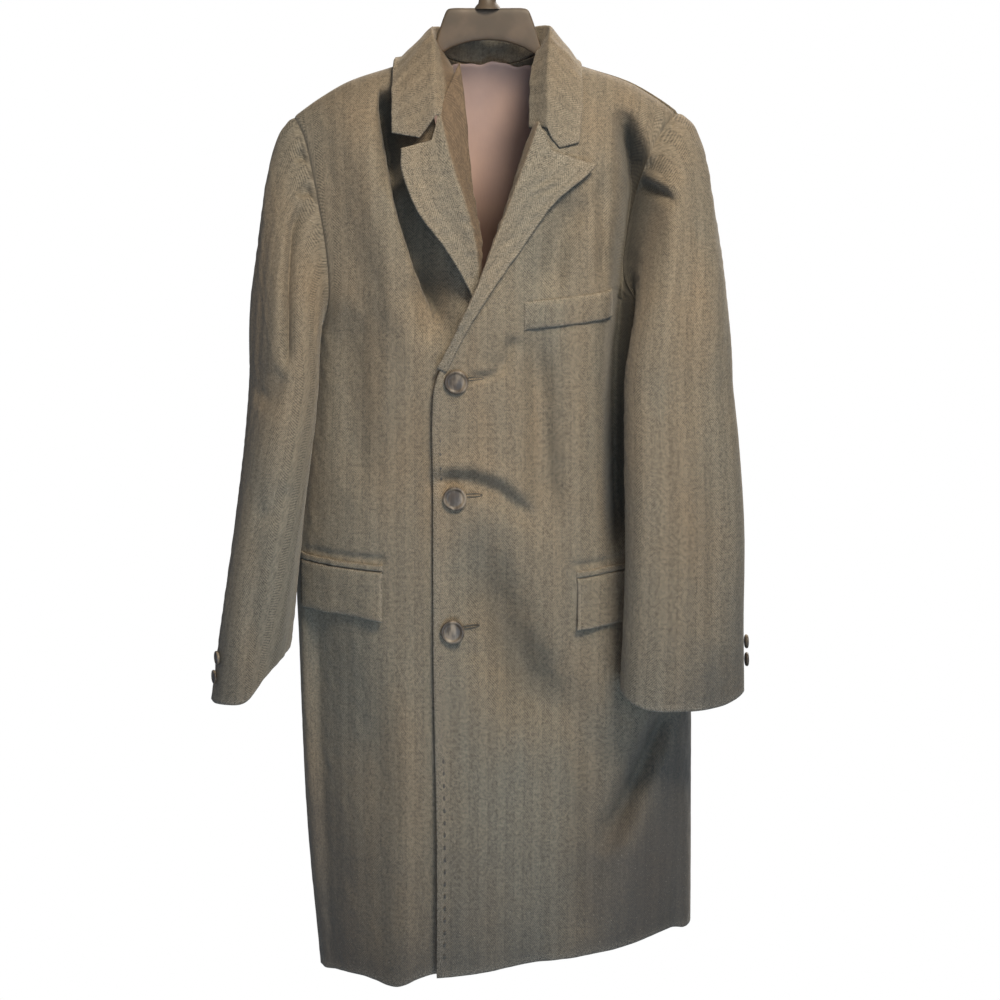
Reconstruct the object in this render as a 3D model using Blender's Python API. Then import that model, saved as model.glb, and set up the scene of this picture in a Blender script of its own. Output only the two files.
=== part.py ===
"""Long wool coat hung on a moulded hanger.

Metres, +Z up. The origin is the inside top of the hook, where a rail carries it.
The coat's front faces -Y, so the wearer's left is at +X.
"""

import math
from collections import namedtuple

import bmesh
import bpy
from mathutils import Matrix, Vector
from mathutils.bvhtree import BVHTree

# Cloth
CLOTH = 0.0024
LINING = 0.0010
SEAM = 0.0003
LAY = 0.0006
LAPEL_LAY = 0.0007

# Body sections: half of a rounded section in front of the side seams and half behind
CENTRE = 0.005
SECTION_POWER = 2.3
Level = namedtuple("Level", "z left right front back side")
LEVELS = [
    Level(-1.210, -0.198, 0.241, -0.116, 0.122, 0.020),
    Level(-1.000, -0.214, 0.239, -0.108, 0.112, 0.020),
    Level(-0.800, -0.220, 0.235, -0.100, 0.100, 0.018),
    Level(-0.700, -0.222, 0.222, -0.098, 0.098, 0.015),
    Level(-0.600, -0.214, 0.210, -0.096, 0.096, 0.012),
    Level(-0.430, -0.197, 0.195, -0.098, 0.102, 0.008),
    Level(-0.380, -0.207, 0.205, -0.098, 0.104, 0.005),
    Level(-0.250, -0.224, 0.225, -0.096, 0.100, 0.000),
    Level(-0.100, -0.238, 0.238, -0.090, 0.092, 0.000),
]

# Shoulder ridge, where front and back meet
SHOULDER_ROUND = 0.20
NECK_HALF = 0.062
BACK_NECK = -0.134
Ridge = namedtuple("Ridge", "x z")
RIDGE = [
    Ridge(0.000, -0.110),
    Ridge(0.062, -0.118),
    Ridge(0.102, -0.133),
    Ridge(0.154, -0.150),
    Ridge(0.188, -0.169),
    Ridge(0.219, -0.191),
]
TIP = {-1: -0.219, 1: 0.212}

# Hem: it hangs lower at the wearer's right
HEM = -1.148
HEM_SLOPE = 0.123
HEM_BEND = -0.235
HEM_DIP = 0.008
HEM_DIP_X = -0.100
HEM_DIP_WIDTH = 0.018

# Rows of a panel from the hem to the shoulder, as shares of its height
UNDERARM = 0.753
LOWER_ROWS = [0.0, 0.07, 0.14, 0.21, 0.28, 0.35, 0.42, 0.49, 0.56, 0.62, 0.68, 0.72]
UPPER_ROWS = [UNDERARM, 0.7605, 0.775, 0.806, 0.858, 0.912, 0.952, 0.981, 0.9955, 1.0]
FRONT_COLUMNS = 9
NECK_COLUMNS = 2
NECK_SPLIT = 0.22

# Armholes in front, by share of the panel's height
Armhole = namedtuple("Armhole", "share right left back")
ARMHOLES = [
    Armhole(0.753, -0.197, 0.195, 0.196),
    Armhole(0.7605, -0.192, 0.1895, 0.195),
    Armhole(0.775, -0.185, 0.175, 0.192),
    Armhole(0.806, -0.179, 0.157, 0.190),
    Armhole(0.858, -0.182, 0.160, 0.190),
    Armhole(0.912, -0.191, 0.170, 0.194),
    Armhole(0.952, -0.199, 0.181, 0.200),
    Armhole(0.981, -0.207, 0.196, 0.206),
    Armhole(0.9955, -0.215, 0.208, 0.211),
    Armhole(1.000, -0.219, 0.212, 0.215),
]

# Inner edges of the fronts: the front edge, then the roll line, then the neck
Edge = namedtuple("Edge", "z x")
EDGES = {
    1: [
        Edge(-1.200, -0.058), Edge(-1.000, -0.057), Edge(-0.800, -0.060), Edge(-0.600, -0.060),
        Edge(-0.490, -0.059), Edge(-0.455, -0.048), Edge(-0.418, -0.028), Edge(-0.375, -0.008),
        Edge(-0.325, 0.011), Edge(-0.298, 0.023), Edge(-0.257, 0.039), Edge(-0.223, 0.052),
        Edge(-0.190, 0.063), Edge(-0.150, 0.066), Edge(-0.118, 0.062),
    ],
    -1: [
        Edge(-1.200, -0.012), Edge(-0.700, -0.012), Edge(-0.460, -0.013), Edge(-0.400, -0.012),
        Edge(-0.345, -0.0145), Edge(-0.321, -0.018), Edge(-0.283, -0.028), Edge(-0.257, -0.038),
        Edge(-0.222, -0.050), Edge(-0.185, -0.0575), Edge(-0.150, -0.064), Edge(-0.118, -0.062),
    ],
}

# The wearer's left front rides over the right
LAP = 0.0044
LAP_AT_ROLL = 0.0095
LAP_ROLL_Z = -0.385
LAP_ROLL_REACH = 0.075
LAP_FROM = 0.055
LAP_TO = -0.012

# Folds: a trough (or, below zero, a ridge) along a line on the front or the back
Fold = namedtuple("Fold", "x_top z_top x_end z_end width depth")
FRONT_FOLDS = [
    Fold(0.128, -0.235, 0.134, -0.390, 0.013, 0.008),
    Fold(0.160, -0.330, 0.163, -0.860, 0.022, 0.012),
    Fold(-0.100, -0.225, -0.062, -0.420, 0.015, 0.008),
    Fold(0.030, -0.790, 0.095, -0.880, 0.016, 0.005),
    Fold(0.118, -0.900, 0.118, -1.160, 0.020, 0.012),
    Fold(0.205, -0.860, 0.168, -1.000, 0.018, 0.006),
    Fold(0.175, -0.980, 0.185, -1.160, 0.018, -0.006),
    Fold(-0.150, -0.780, -0.155, -1.200, 0.024, 0.012),
    Fold(-0.100, -0.960, -0.100, -1.200, 0.016, -0.008),
]
BACK_FOLDS = [
    Fold(-0.085, -0.420, -0.105, -1.200, 0.024, 0.012),
    Fold(0.090, -0.460, 0.115, -1.200, 0.026, 0.012),
    Fold(0.010, -0.620, 0.005, -1.200, 0.028, 0.010),
]

# Lapels, from the break up to the gorge; lean and turn are the facing that turns in
Lapel = namedtuple("Lapel", "step x_roll z_roll x_edge z_edge rise lean turn")
LAPELS = {
    1: [
        Lapel(0.00, -0.0545, -0.4600, -0.0455, -0.4640, 0.0030, 0.0010, 0.0018),
        Lapel(0.17, -0.0330, -0.4180, -0.0235, -0.4190, 0.0060, 0.0015, 0.0030),
        Lapel(0.34, -0.0130, -0.3750, 0.0045, -0.3740, 0.0085, 0.0018, 0.0040),
        Lapel(0.54, 0.0062, -0.3245, 0.0395, -0.3250, 0.0100, 0.0030, 0.0080),
        Lapel(0.70, 0.0225, -0.2830, 0.0700, -0.2820, 0.0105, 0.0060, 0.0130),
        Lapel(0.85, 0.0370, -0.2430, 0.0990, -0.2570, 0.0105, 0.0095, 0.0170),
        Lapel(1.00, 0.0540, -0.2020, 0.1185, -0.2390, 0.0100, 0.0130, 0.0200),
    ],
    -1: [
        Lapel(0.00, -0.0090, -0.4050, -0.0050, -0.4060, 0.0030, 0.0005, 0.0014),
        Lapel(0.20, -0.0095, -0.3650, -0.0220, -0.3680, 0.0040, 0.0005, 0.0020),
        Lapel(0.40, -0.0130, -0.3250, -0.0450, -0.3290, 0.0070, 0.0035, 0.0080),
        Lapel(0.60, -0.0230, -0.2840, -0.0740, -0.2900, 0.0085, 0.0070, 0.0140),
        Lapel(0.80, -0.0380, -0.2380, -0.0915, -0.2480, 0.0095, 0.0090, 0.0170),
        Lapel(1.00, -0.0515, -0.1860, -0.0935, -0.2210, 0.0100, 0.0100, 0.0200),
    ],
}
LAPEL_STEPS = 12
GORGE_SHARE = 0.34
GORGE_FALL = {1: (-0.0060, -0.0110), -1: (-0.0060, -0.0160)}
ROLL_RADIUS = 0.0042
ACROSS = 5
AROUND = 4

# Collar, from the middle of the back to the gorge; left and right share all but the drop
Collar = namedtuple("Collar", "roll_x roll_y roll_z edge_x edge_y edge_z stand_x stand_y stand_z drop")
COLLAR = [
    Collar(0.000, 0.0600, -0.088, 0.000, 0.0740, -0.152, 0.0000, 0.0455, -0.1325, 0.0),
    Collar(0.034, 0.0510, -0.088, 0.057, 0.0620, -0.150, 0.0310, 0.0390, -0.1280, 0.0),
    Collar(0.056, 0.0270, -0.088, 0.092, 0.0330, -0.141, 0.0520, 0.0220, -0.1195, 0.0),
    Collar(0.061, 0.0010, -0.089, 0.102, 0.0000, -0.1285, 0.0585, 0.0010, -0.1155, 0.0),
    Collar(0.0595, -0.0300, -0.102, 0.1045, -0.0420, -0.145, 0.0520, -0.0130, -0.1230, 0.0),
    Collar(0.0575, -0.0640, -0.137, 0.1050, -0.0640, -0.175, 0.0465, -0.0400, -0.1450, 0.4),
    Collar(0.0565, -0.0840, -0.184, 0.1040, -0.0750, -0.204, 0.0455, -0.0620, -0.1850, 1.0),
]
COLLAR_DROP = {1: 0.0140, -1: 0.0}
COLLAR_EDGE_IN = {1: 0.004, -1: 0.0}
COLLAR_NOTCH_SHARE = 0.34
COLLAR_NOTCH = (0.0020, -0.0180)
COLLAR_STEPS = 2
COLLAR_RADIUS = 0.0042

# Sleeves: rings from the upper arm to the cuff
Ring = namedtuple("Ring", "z x y out fore turn tilt")
SLEEVES = {
    1: [
        Ring(-0.836, 0.2180, -0.108, 0.0735, 0.0440, -20.0, 0.004),
        Ring(-0.750, 0.2180, -0.112, 0.0710, 0.0440, -21.0, 0.003),
        Ring(-0.640, 0.2185, -0.109, 0.0700, 0.0440, -22.0, 0.000),
        Ring(-0.540, 0.2150, -0.100, 0.0660, 0.0440, -24.0, 0.000),
        Ring(-0.480, 0.2110, -0.090, 0.0630, 0.0440, -25.0, 0.000),
    ],
    -1: [
        Ring(-0.850, -0.2690, -0.056, 0.0440, 0.0580, -10.0, 0.034),
        Ring(-0.760, -0.2600, -0.058, 0.0420, 0.0620, -4.0, 0.014),
        Ring(-0.640, -0.2460, -0.056, 0.0400, 0.0660, 6.0, 0.000),
        Ring(-0.540, -0.2355, -0.049, 0.0370, 0.0690, 14.0, 0.000),
        Ring(-0.480, -0.2305, -0.041, 0.0350, 0.0710, 18.0, 0.000),
    ],
}
TWIST = {1: 80.0, -1: 4.0}
CAP_OUT = 0.026
CAP_UNDER = {1: 0.026, -1: 0.017}
CAP_FORE = 0.012
CAP_FALL = 0.010
CAP_ROWS = 6
ARM_ROWS = 7

# Pockets on the fronts: the corners of each strip
Strip = namedtuple("Strip", "x_in x_out top_in top_out height columns rows lift thick")
STRIPS = {
    "welt": Strip(0.0410, 0.1390, -0.3885, -0.3780, 0.0310, 8, 3, LAY, 0.0024),
    "flap_left": Strip(0.1010, 0.2050, -0.7000, -0.6930, 0.0560, 9, 4, LAY, 0.0024),
    "flap_right": Strip(-0.1190, -0.2140, -0.6940, -0.6900, 0.0540, 8, 4, 0.0009, 0.0024),
    "jet_left": Strip(0.1000, 0.2050, -0.6915, -0.6845, 0.0080, 9, 1, LAY, 0.0014),
    "jet_right": Strip(-0.1180, -0.2140, -0.6855, -0.6815, 0.0080, 8, 1, LAY, 0.0014),
}

# Buttons
BUTTON_RADIUS = 0.0135
BUTTON_DEPTH = 0.0046
CUFF_BUTTON_RADIUS = 0.0080
CUFF_BUTTON_DEPTH = 0.0034
Button = namedtuple("Button", "x z")
BUTTONS = {
    "button_top": Button(-0.034, -0.475),
    "button_middle": Button(-0.036, -0.606),
    "button_low": Button(-0.039, -0.757),
}
CuffButton = namedtuple("CuffButton", "side angle z")
CUFF_BUTTONS = {
    "cuff_button_right_high": CuffButton(-1, 18.0, -0.8050),
    "cuff_button_right_low": CuffButton(-1, 18.0, -0.8280),
    "cuff_button_left_high": CuffButton(1, 12.0, -0.7750),
    "cuff_button_left_low": CuffButton(1, 12.0, -0.7980),
}
BUTTON_LIFT = 0.0005
BUTTON_STEPS = 18

# Hanger: sections from its middle to the tip of an arm
Board = namedtuple("Board", "x top bottom depth")
BOARD = [
    Board(0.0000, -0.0700, -0.1050, 0.0120),
    Board(0.0200, -0.0700, -0.1072, 0.0120),
    Board(0.0380, -0.0702, -0.1145, 0.0120),
    Board(0.0440, -0.0740, -0.1180, 0.0120),
    Board(0.0490, -0.0930, -0.1210, 0.0120),
]
Arm = namedtuple("Arm", "x height depth")
ARMS = [
    Arm(0.0560, 0.018, 0.0130),
    Arm(0.1000, 0.022, 0.0150),
    Arm(0.1300, 0.023, 0.0170),
    Arm(0.1550, 0.023, 0.0180),
    Arm(0.1740, 0.022, 0.0180),
    Arm(0.1860, 0.018, 0.0170),
]
ARM_CLEAR = 0.0043
ARM_CROWN = 0.012
ARM_CHAMFER = 0.0035

# Hook
HOOK_INNER = 0.020
HOOK_BAR = 0.0058
HOOK_NECK = 0.0095
HOOK_FOOT = 0.0118
HOOK_TURN = 12
HOOK_SIDES = 4

# Lining inside the back
LINING_LIFT = 0.0005
LINING_FROM = 8
LINING_TO = -2
LINING_INSET = 2


def mix(a, b, t):
    """Value between a and b at share t."""
    return a + (b - a) * t


def clamp(value, low=0.0, high=1.0):
    return max(low, min(high, value))


def ease(t):
    """Smooth step from 0 to 1."""
    t = clamp(t)
    return t * t * (3.0 - 2.0 * t)


def along(rows, key):
    """Row of a table at a key between its rows, on a cubic through them."""
    last = len(rows) - 1
    key = clamp(key, rows[0][0], rows[last][0])
    at = 0
    while at < last - 1 and key > rows[at + 1][0]:
        at += 1
    low, high = rows[at], rows[at + 1]
    span = high[0] - low[0]
    t = (key - low[0]) / span
    values = [key]
    for column in range(1, len(low)):
        def slope(index):
            before, after = rows[max(index - 1, 0)], rows[min(index + 1, last)]
            return (after[column] - before[column]) / (after[0] - before[0])
        h00 = 2 * t ** 3 - 3 * t ** 2 + 1
        h10 = t ** 3 - 2 * t ** 2 + t
        h01 = 3 * t ** 2 - 2 * t ** 3
        h11 = t ** 3 - t ** 2
        values.append(h00 * low[column] + h10 * span * slope(at)
                      + h01 * high[column] + h11 * span * slope(at + 1))
    return type(low)(*values)


def ridge(x):
    """Height of the shoulder ridge."""
    return along(RIDGE, abs(x)).z


def half_width(x, z):
    row = along(LEVELS, z)
    return row.right - CENTRE if x >= CENTRE else CENTRE - row.left


def angle_of(x, z):
    """Angle round the section, -1 to 1 from side seam to side seam."""
    share = clamp(abs(x - CENTRE) / half_width(x, z))
    turn = math.asin(share ** (SECTION_POWER / 2.0)) / (math.pi / 2.0)
    return turn if x >= CENTRE else -turn


def x_of(angle, z):
    row = along(LEVELS, z)
    half = row.right - CENTRE if angle >= 0.0 else row.left - CENTRE
    return CENTRE + half * math.sin(abs(angle) * math.pi / 2.0) ** (2.0 / SECTION_POWER)


def fold_depth(folds, x, z):
    """Depth of the folds at a place."""
    depth = 0.0
    for fold in folds:
        run = (fold.z_top - z) / (fold.z_top - fold.z_end)
        reach = ease((run + 0.15) / 0.30) * ease((1.15 - run) / 0.30)
        line = mix(fold.x_top, fold.x_end, clamp(run, -0.2, 1.2))
        depth += fold.depth * reach * math.exp(-((x - line) / fold.width) ** 2)
    return depth


def surface(x, z, front, folded=True):
    """Depth position of the cloth's outside, on the front or the back."""
    row = along(LEVELS, z)
    share = clamp(abs(x - CENTRE) / half_width(x, z))
    bulge = (1.0 - share ** SECTION_POWER) ** (1.0 / SECTION_POWER) if share < 0.999999 else 0.0
    fall = clamp((ridge(x) - z) / SHOULDER_ROUND)
    rounding = math.sqrt(1.0 - (1.0 - fall) ** 2)
    near_side = ease((1.0 - share) / 0.12) if folded else 0.0
    if front:
        y = mix(row.side, row.front, bulge) * rounding
        return y + fold_depth(FRONT_FOLDS, x, z) * near_side
    y = mix(row.side, row.back, bulge) * rounding
    return y - fold_depth(BACK_FOLDS, x, z) * near_side


def lap(x, z):
    """How far the wearer's left front stands off the right one."""
    near = ease((LAP_FROM - x) / (LAP_FROM - LAP_TO))
    roll = math.exp(-((z - LAP_ROLL_Z) / LAP_ROLL_REACH) ** 2)
    return near * (LAP + LAP_AT_ROLL * roll)


def front_y(side, x, z, folded=True):
    """Depth position of one front's outside."""
    y = surface(x, z, True, folded)
    return y - lap(x, z) if side > 0 else y


def hem(x):
    """Height of the hem, which hangs lower at the wearer's right."""
    return HEM + HEM_SLOPE * x + HEM_BEND * x * x


def hem_dip(x):
    return -HEM_DIP * math.exp(-((x - HEM_DIP_X) / HEM_DIP_WIDTH) ** 2)


def hem_side(side):
    row = along(LEVELS, HEM)
    return row.right if side > 0 else row.left


def spread(low, full, high, across):
    """Angle across a panel, drawn in to the armhole mostly near its outer edge."""
    drawn = full - high
    power = clamp(0.7 * (full - low) / drawn, 1.0, 3.0) if abs(drawn) > 1e-6 else 1.0
    return mix(low, full, across) - drawn * across ** power


def side_x(side, share):
    """Outer edge of a front: the side seam, then the armhole."""
    z = side_z(side, share)
    if share <= UNDERARM:
        return along(LEVELS, z).right if side > 0 else along(LEVELS, z).left
    row = along(ARMHOLES, share)
    return row.left if side > 0 else row.right


def side_z(side, share):
    return mix(hem(hem_side(side)), ridge(TIP[side]), share)


def shoulder_x(side, across):
    """Place along the shoulder seam, 0 at the neck and 1 at the tip."""
    low = angle_of(side * NECK_HALF, ridge(NECK_HALF))
    high = angle_of(TIP[side], ridge(TIP[side]))
    angle = spread(low, float(side), high, across)
    return x_of(angle, mix(ridge(NECK_HALF), ridge(TIP[side]), across))


def front_point(side, across, share):
    """Point of a front, from its inner edge to the side and from hem to shoulder."""
    edge = EDGES[side]
    top_x = shoulder_x(side, across)
    if share >= 1.0:
        return Vector((top_x, 0.0, ridge(top_x)))
    foot_in = along(edge, HEM).x
    foot_x = x_of(mix(angle_of(foot_in, HEM), float(side), across), HEM)
    z_in = mix(hem(foot_in), ridge(NECK_HALF), share)
    z = mix(hem(foot_x), ridge(top_x), share)
    if side < 0:
        z += hem_dip(foot_x) * (1.0 - share) ** 12
    low = angle_of(along(edge, z_in).x, z_in)
    high = float(side)
    if share > UNDERARM:
        high = angle_of(side_x(side, share), side_z(side, share))
    x = x_of(spread(low, float(side), high, across), z)
    return Vector((x, front_y(side, x, z), z))


def back_point(side, across, share):
    """Point of half the back, from its middle to the side and from hem to shoulder."""
    split = NECK_SPLIT
    if across >= split:
        top_x = shoulder_x(side, (across - split) / (1.0 - split))
        top = Vector((top_x, 0.0, ridge(top_x)))
    else:
        top_x = side * NECK_HALF * across / split
        top_z = mix(BACK_NECK, ridge(NECK_HALF), (top_x / NECK_HALF) ** 2)
        top = Vector((top_x, surface(top_x, top_z, False), top_z))
    if share >= 1.0:
        return top
    foot_x = x_of(mix(angle_of(0.0, HEM), float(side), across), HEM)
    z = mix(hem(foot_x), top.z, share)
    high = float(side)
    if share > UNDERARM:
        high = angle_of(side * along(ARMHOLES, share).back, side_z(side, share))
    x = x_of(spread(angle_of(0.0, z), float(side), high, across), z)
    tip = angle_of(TIP[side], ridge(TIP[side]))
    crown_x = x_of(spread(angle_of(0.0, top.z), float(side), tip, across), top.z)
    x += (top.x - crown_x) * share ** 10
    return Vector((x, surface(x, z, False), z))


def back_columns():
    """Columns of half the back, with one at the neck point."""
    columns = [NECK_SPLIT * step / NECK_COLUMNS for step in range(NECK_COLUMNS)]
    return columns + [mix(NECK_SPLIT, 1.0, step / FRONT_COLUMNS) for step in range(FRONT_COLUMNS + 1)]


def panel_rows():
    return LOWER_ROWS + UPPER_ROWS


def front_sheet(side):
    """Grid of a front, hem first, columns from left to right seen from the front."""
    columns = [step / FRONT_COLUMNS for step in range(FRONT_COLUMNS + 1)]
    if side < 0:
        columns.reverse()
    return [[front_point(side, across, share) for across in columns] for share in panel_rows()]


def back_sheet():
    """Grid of the back, hem first, columns from the wearer's left to the right."""
    rows = []
    for share in panel_rows():
        left = [back_point(1, across, share) for across in reversed(back_columns())]
        right = [back_point(-1, across, share) for across in back_columns()]
        rows.append(left + right[1:])
    return rows


def armhole_loop(side):
    """Armhole from the shoulder tip down the front and up the back."""
    front = [front_point(side, 1.0, share) for share in reversed(UPPER_ROWS)]
    back = [back_point(side, 1.0, share) for share in UPPER_ROWS]
    return front + back[1:-1]


def ring_point(side, row, angle):
    """Point of a sleeve's ring; angle 0 is outward and a quarter turn is forward."""
    turn = math.radians(row.turn)
    outward = Vector((side * math.cos(turn), -math.sin(turn), 0.0))
    forward = Vector((-side * math.sin(turn), -math.cos(turn), 0.0))
    lift = row.tilt * (1.0 - math.cos(angle)) / 2.0
    return (Vector((row.x, row.y, row.z + lift)) + outward * (row.out * math.cos(angle))
            + forward * (row.fore * math.sin(angle)))


def loop_angles(loop):
    """Angle of each point of an armhole loop, by its length down the front and up the back."""
    count = len(loop)
    low = count // 2
    lengths = [(loop[(step + 1) % count] - loop[step]).length for step in range(count)]
    front, back = sum(lengths[:low]), sum(lengths[low:])
    angles = [0.0]
    for step in range(count - 1):
        part = lengths[step] / (front if step < low else back)
        angles.append(angles[-1] + math.pi * part)
    return angles


def sleeve_rings(side):
    """Rings of a sleeve from the armhole to the cuff."""
    loop = armhole_loop(side)
    angles = loop_angles(loop)
    twist = math.radians(TWIST[side])
    table = SLEEVES[side]
    upper = table[-1]
    rings = []
    for step in range(CAP_ROWS):
        t = step / CAP_ROWS
        ring = []
        for start, angle in zip(loop, angles):
            end = ring_point(side, upper, angle + twist)
            top = (1.0 + math.cos(angle)) / 2.0
            leave = Vector((side * mix(CAP_UNDER[side], CAP_OUT, top), -CAP_FORE * math.sin(angle), -CAP_FALL))
            arrive = Vector((0.0, 0.0, 0.45 * (start.z - end.z)))
            ring.append(start * (1 - t) ** 3 + (start + leave) * (3 * t * (1 - t) ** 2)
                        + (end + arrive) * (3 * t ** 2 * (1 - t)) + end * t ** 3)
        rings.append(ring)
    for step in range(ARM_ROWS + 1):
        row = along(table, mix(upper.z, table[0].z, step / ARM_ROWS))
        rings.append([ring_point(side, row, angle + twist) for angle in angles])
    return rings


def sleeve_sheets(side):
    """Top and under halves of a sleeve, cuff first, cut at the fore and hind seams."""
    rings = sleeve_rings(side)
    count = len(rings[0])
    quarter = count // 4
    top = [step % count for step in range(-quarter, quarter + 1)]
    under = [step % count for step in range(quarter, count - quarter + 1)]
    if side > 0:
        top.reverse()
        under.reverse()
    sheets = []
    for columns in (top, under):
        sheets.append([[ring[column] for column in columns] for ring in reversed(rings)])
    return sheets


def fillet(points, radius, around):
    """Corner of three points rounded to an arc-like curve, with its ends."""
    before, corner, after = points
    low = (before - corner).normalized()
    high = (after - corner).normalized()
    half = low.angle(high) / 2.0
    reach = radius / math.tan(half)
    reach = min(reach, 0.8 * (before - corner).length, 0.8 * (after - corner).length)
    start, end = corner + low * reach, corner + high * reach
    curve = []
    for step in range(around + 1):
        t = step / around
        curve.append(start * (1 - t) ** 2 + corner * (2 * t * (1 - t)) + end * t ** 2)
    return curve


def laid_y(side, x, z):
    """Depth position of what lies on a front: over its folds and clear of its faces."""
    y = front_y(side, x, z, False)
    hit = fronts[side].ray_cast(Vector((x, -1.0, z)), Vector((0.0, 1.0, 0.0)))[0]
    return min(y, hit.y) if hit else y


def lapel_sheet(side):
    """Grid of a lapel: rows from the break to the gorge, columns from the facing to the edge."""
    rows = []
    for step in range(LAPEL_STEPS):
        row = along(LAPELS[side], step / (LAPEL_STEPS - 1))
        rest_y = front_y(side, row.x_roll, row.z_roll, False)
        roll = Vector((row.x_roll, rest_y - row.rise, row.z_roll))
        tuck = roll + Vector((-side * row.lean, row.turn, -0.002))
        face = []
        gorge = (step / (LAPEL_STEPS - 1)) ** 7
        for column in range(1, ACROSS + 1):
            q = column / ACROSS
            dip = min(q / GORGE_SHARE, (1.0 - q) / (1.0 - GORGE_SHARE)) * gorge
            x = mix(row.x_roll, row.x_edge, q) + side * GORGE_FALL[side][0] * dip
            z = mix(row.z_roll, row.z_edge, q) + GORGE_FALL[side][1] * dip
            rise = mix(row.rise, LAPEL_LAY + CLOTH, ease(q ** 0.6))
            face.append(Vector((x, laid_y(side, x, z) - rise, z)))
        curve = fillet((tuck, roll, face[0]), ROLL_RADIUS, AROUND)
        rows.append([tuck] + curve + face)
    if side < 0:
        rows = [list(reversed(row)) for row in rows]
    return rows


def collar_station(place, side):
    """Row of the collar's table at a place from 0 at the middle to 1 at the gorge."""
    numbered = [namedtuple("Numbered", ("step",) + Collar._fields)(index, *row)
                for index, row in enumerate(COLLAR)]
    row = along(numbered, place * (len(COLLAR) - 1))
    drop = row.drop * COLLAR_DROP[side]
    inset = row.drop * COLLAR_EDGE_IN[side]
    roll = Vector((side * row.roll_x, row.roll_y, row.roll_z - drop))
    edge = Vector((side * (row.edge_x - inset), row.edge_y, row.edge_z - drop))
    stand = Vector((side * row.stand_x, row.stand_y, row.stand_z - drop))
    return roll, edge, stand


def collar_sheet():
    """Grid of the collar: rows from the wearer's left to the right, columns from stand to edge."""
    count = COLLAR_STEPS * (len(COLLAR) - 1)
    rows = []
    for step in range(-count, count + 1):
        side = 1 if step >= 0 else -1
        place = abs(step) / count
        roll, edge, stand = collar_station(place, side)
        notch = clamp((place - 0.80) / 0.20) ** 3
        leaf = []
        for column in range(1, ACROSS + 1):
            q = column / ACROSS
            dip = min(q / COLLAR_NOTCH_SHARE, (1.0 - q) / (1.0 - COLLAR_NOTCH_SHARE)) * notch
            point = roll.lerp(edge, q) + Vector((side * COLLAR_NOTCH[0], 0.0, COLLAR_NOTCH[1])) * dip
            leaf.append(off_body(point, LAPEL_LAY + CLOTH))
        middle = stand.lerp(roll, 0.5)
        curve = fillet((middle, roll, leaf[0]), COLLAR_RADIUS, AROUND)
        rows.append([stand, middle] + curve + leaf)
    rows.reverse()
    return rows


def off_body(point, lift):
    """Point moved out where it would be nearer to the body than a lift."""
    x, y, z = point
    side = 1 if x >= 0.0 else -1
    top = ridge(x)
    if z < top - 0.004 and y <= 0.0:
        y = min(y, front_y(side, x, z, False) - lift)
    elif z < top - 0.004:
        y = max(y, surface(x, z, False, False) + lift)
    else:
        z = max(z, top + lift)
    return Vector((x, y, z))


def grid_normals(grid):
    """Sum of the face normals at each point of a grid."""
    rows, columns = len(grid), len(grid[0])
    sums = [[Vector() for _ in range(columns)] for _ in range(rows)]
    for row in range(rows - 1):
        for column in range(columns - 1):
            low, right = grid[row][column], grid[row][column + 1]
            up, far = grid[row + 1][column], grid[row + 1][column + 1]
            normal = (far - low).cross(up - right)
            for r, c in ((row, column), (row, column + 1), (row + 1, column), (row + 1, column + 1)):
                sums[r][c] += normal
    return sums


def place_key(point):
    return tuple(round(value, 6) for value in point)


def sewn_normals(grids):
    """Normals of several grids, shared where their points meet at a seam.

    Body and sleeve weigh the same at an armhole, however many panels meet there.
    """
    shared = {}
    for name, grid in grids.items():
        kind = 1 if name.startswith("sleeve") else 0
        for points, normals in zip(grid, grid_normals(grid)):
            for point, normal in zip(points, normals):
                pair = shared.setdefault(place_key(point), (Vector(), Vector()))
                pair[kind].xyz = pair[kind] + normal.normalized()
    joined = {key: (body.normalized() + arm.normalized()).normalized() for key, (body, arm) in shared.items()}
    return {name: [[joined[place_key(point)] for point in points] for points in grid]
            for name, grid in grids.items()}


def trimmed(grid, sides, gap):
    """Grid with its sewn sides drawn in by a gap."""
    rows = [[point.copy() for point in points] for points in grid]
    last_row, last_column = len(grid) - 1, len(grid[0]) - 1
    if "bottom" in sides:
        for column, point in enumerate(rows[0]):
            point += (grid[1][column] - grid[0][column]).normalized() * gap
    if "top" in sides:
        for column, point in enumerate(rows[last_row]):
            point += (grid[last_row - 1][column] - grid[last_row][column]).normalized() * gap
    for index, points in enumerate(rows):
        if "left" in sides:
            points[0] += (grid[index][1] - grid[index][0]).normalized() * gap
        if "right" in sides:
            points[last_column] += (grid[index][last_column - 1] - grid[index][last_column]).normalized() * gap
    return rows


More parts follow.
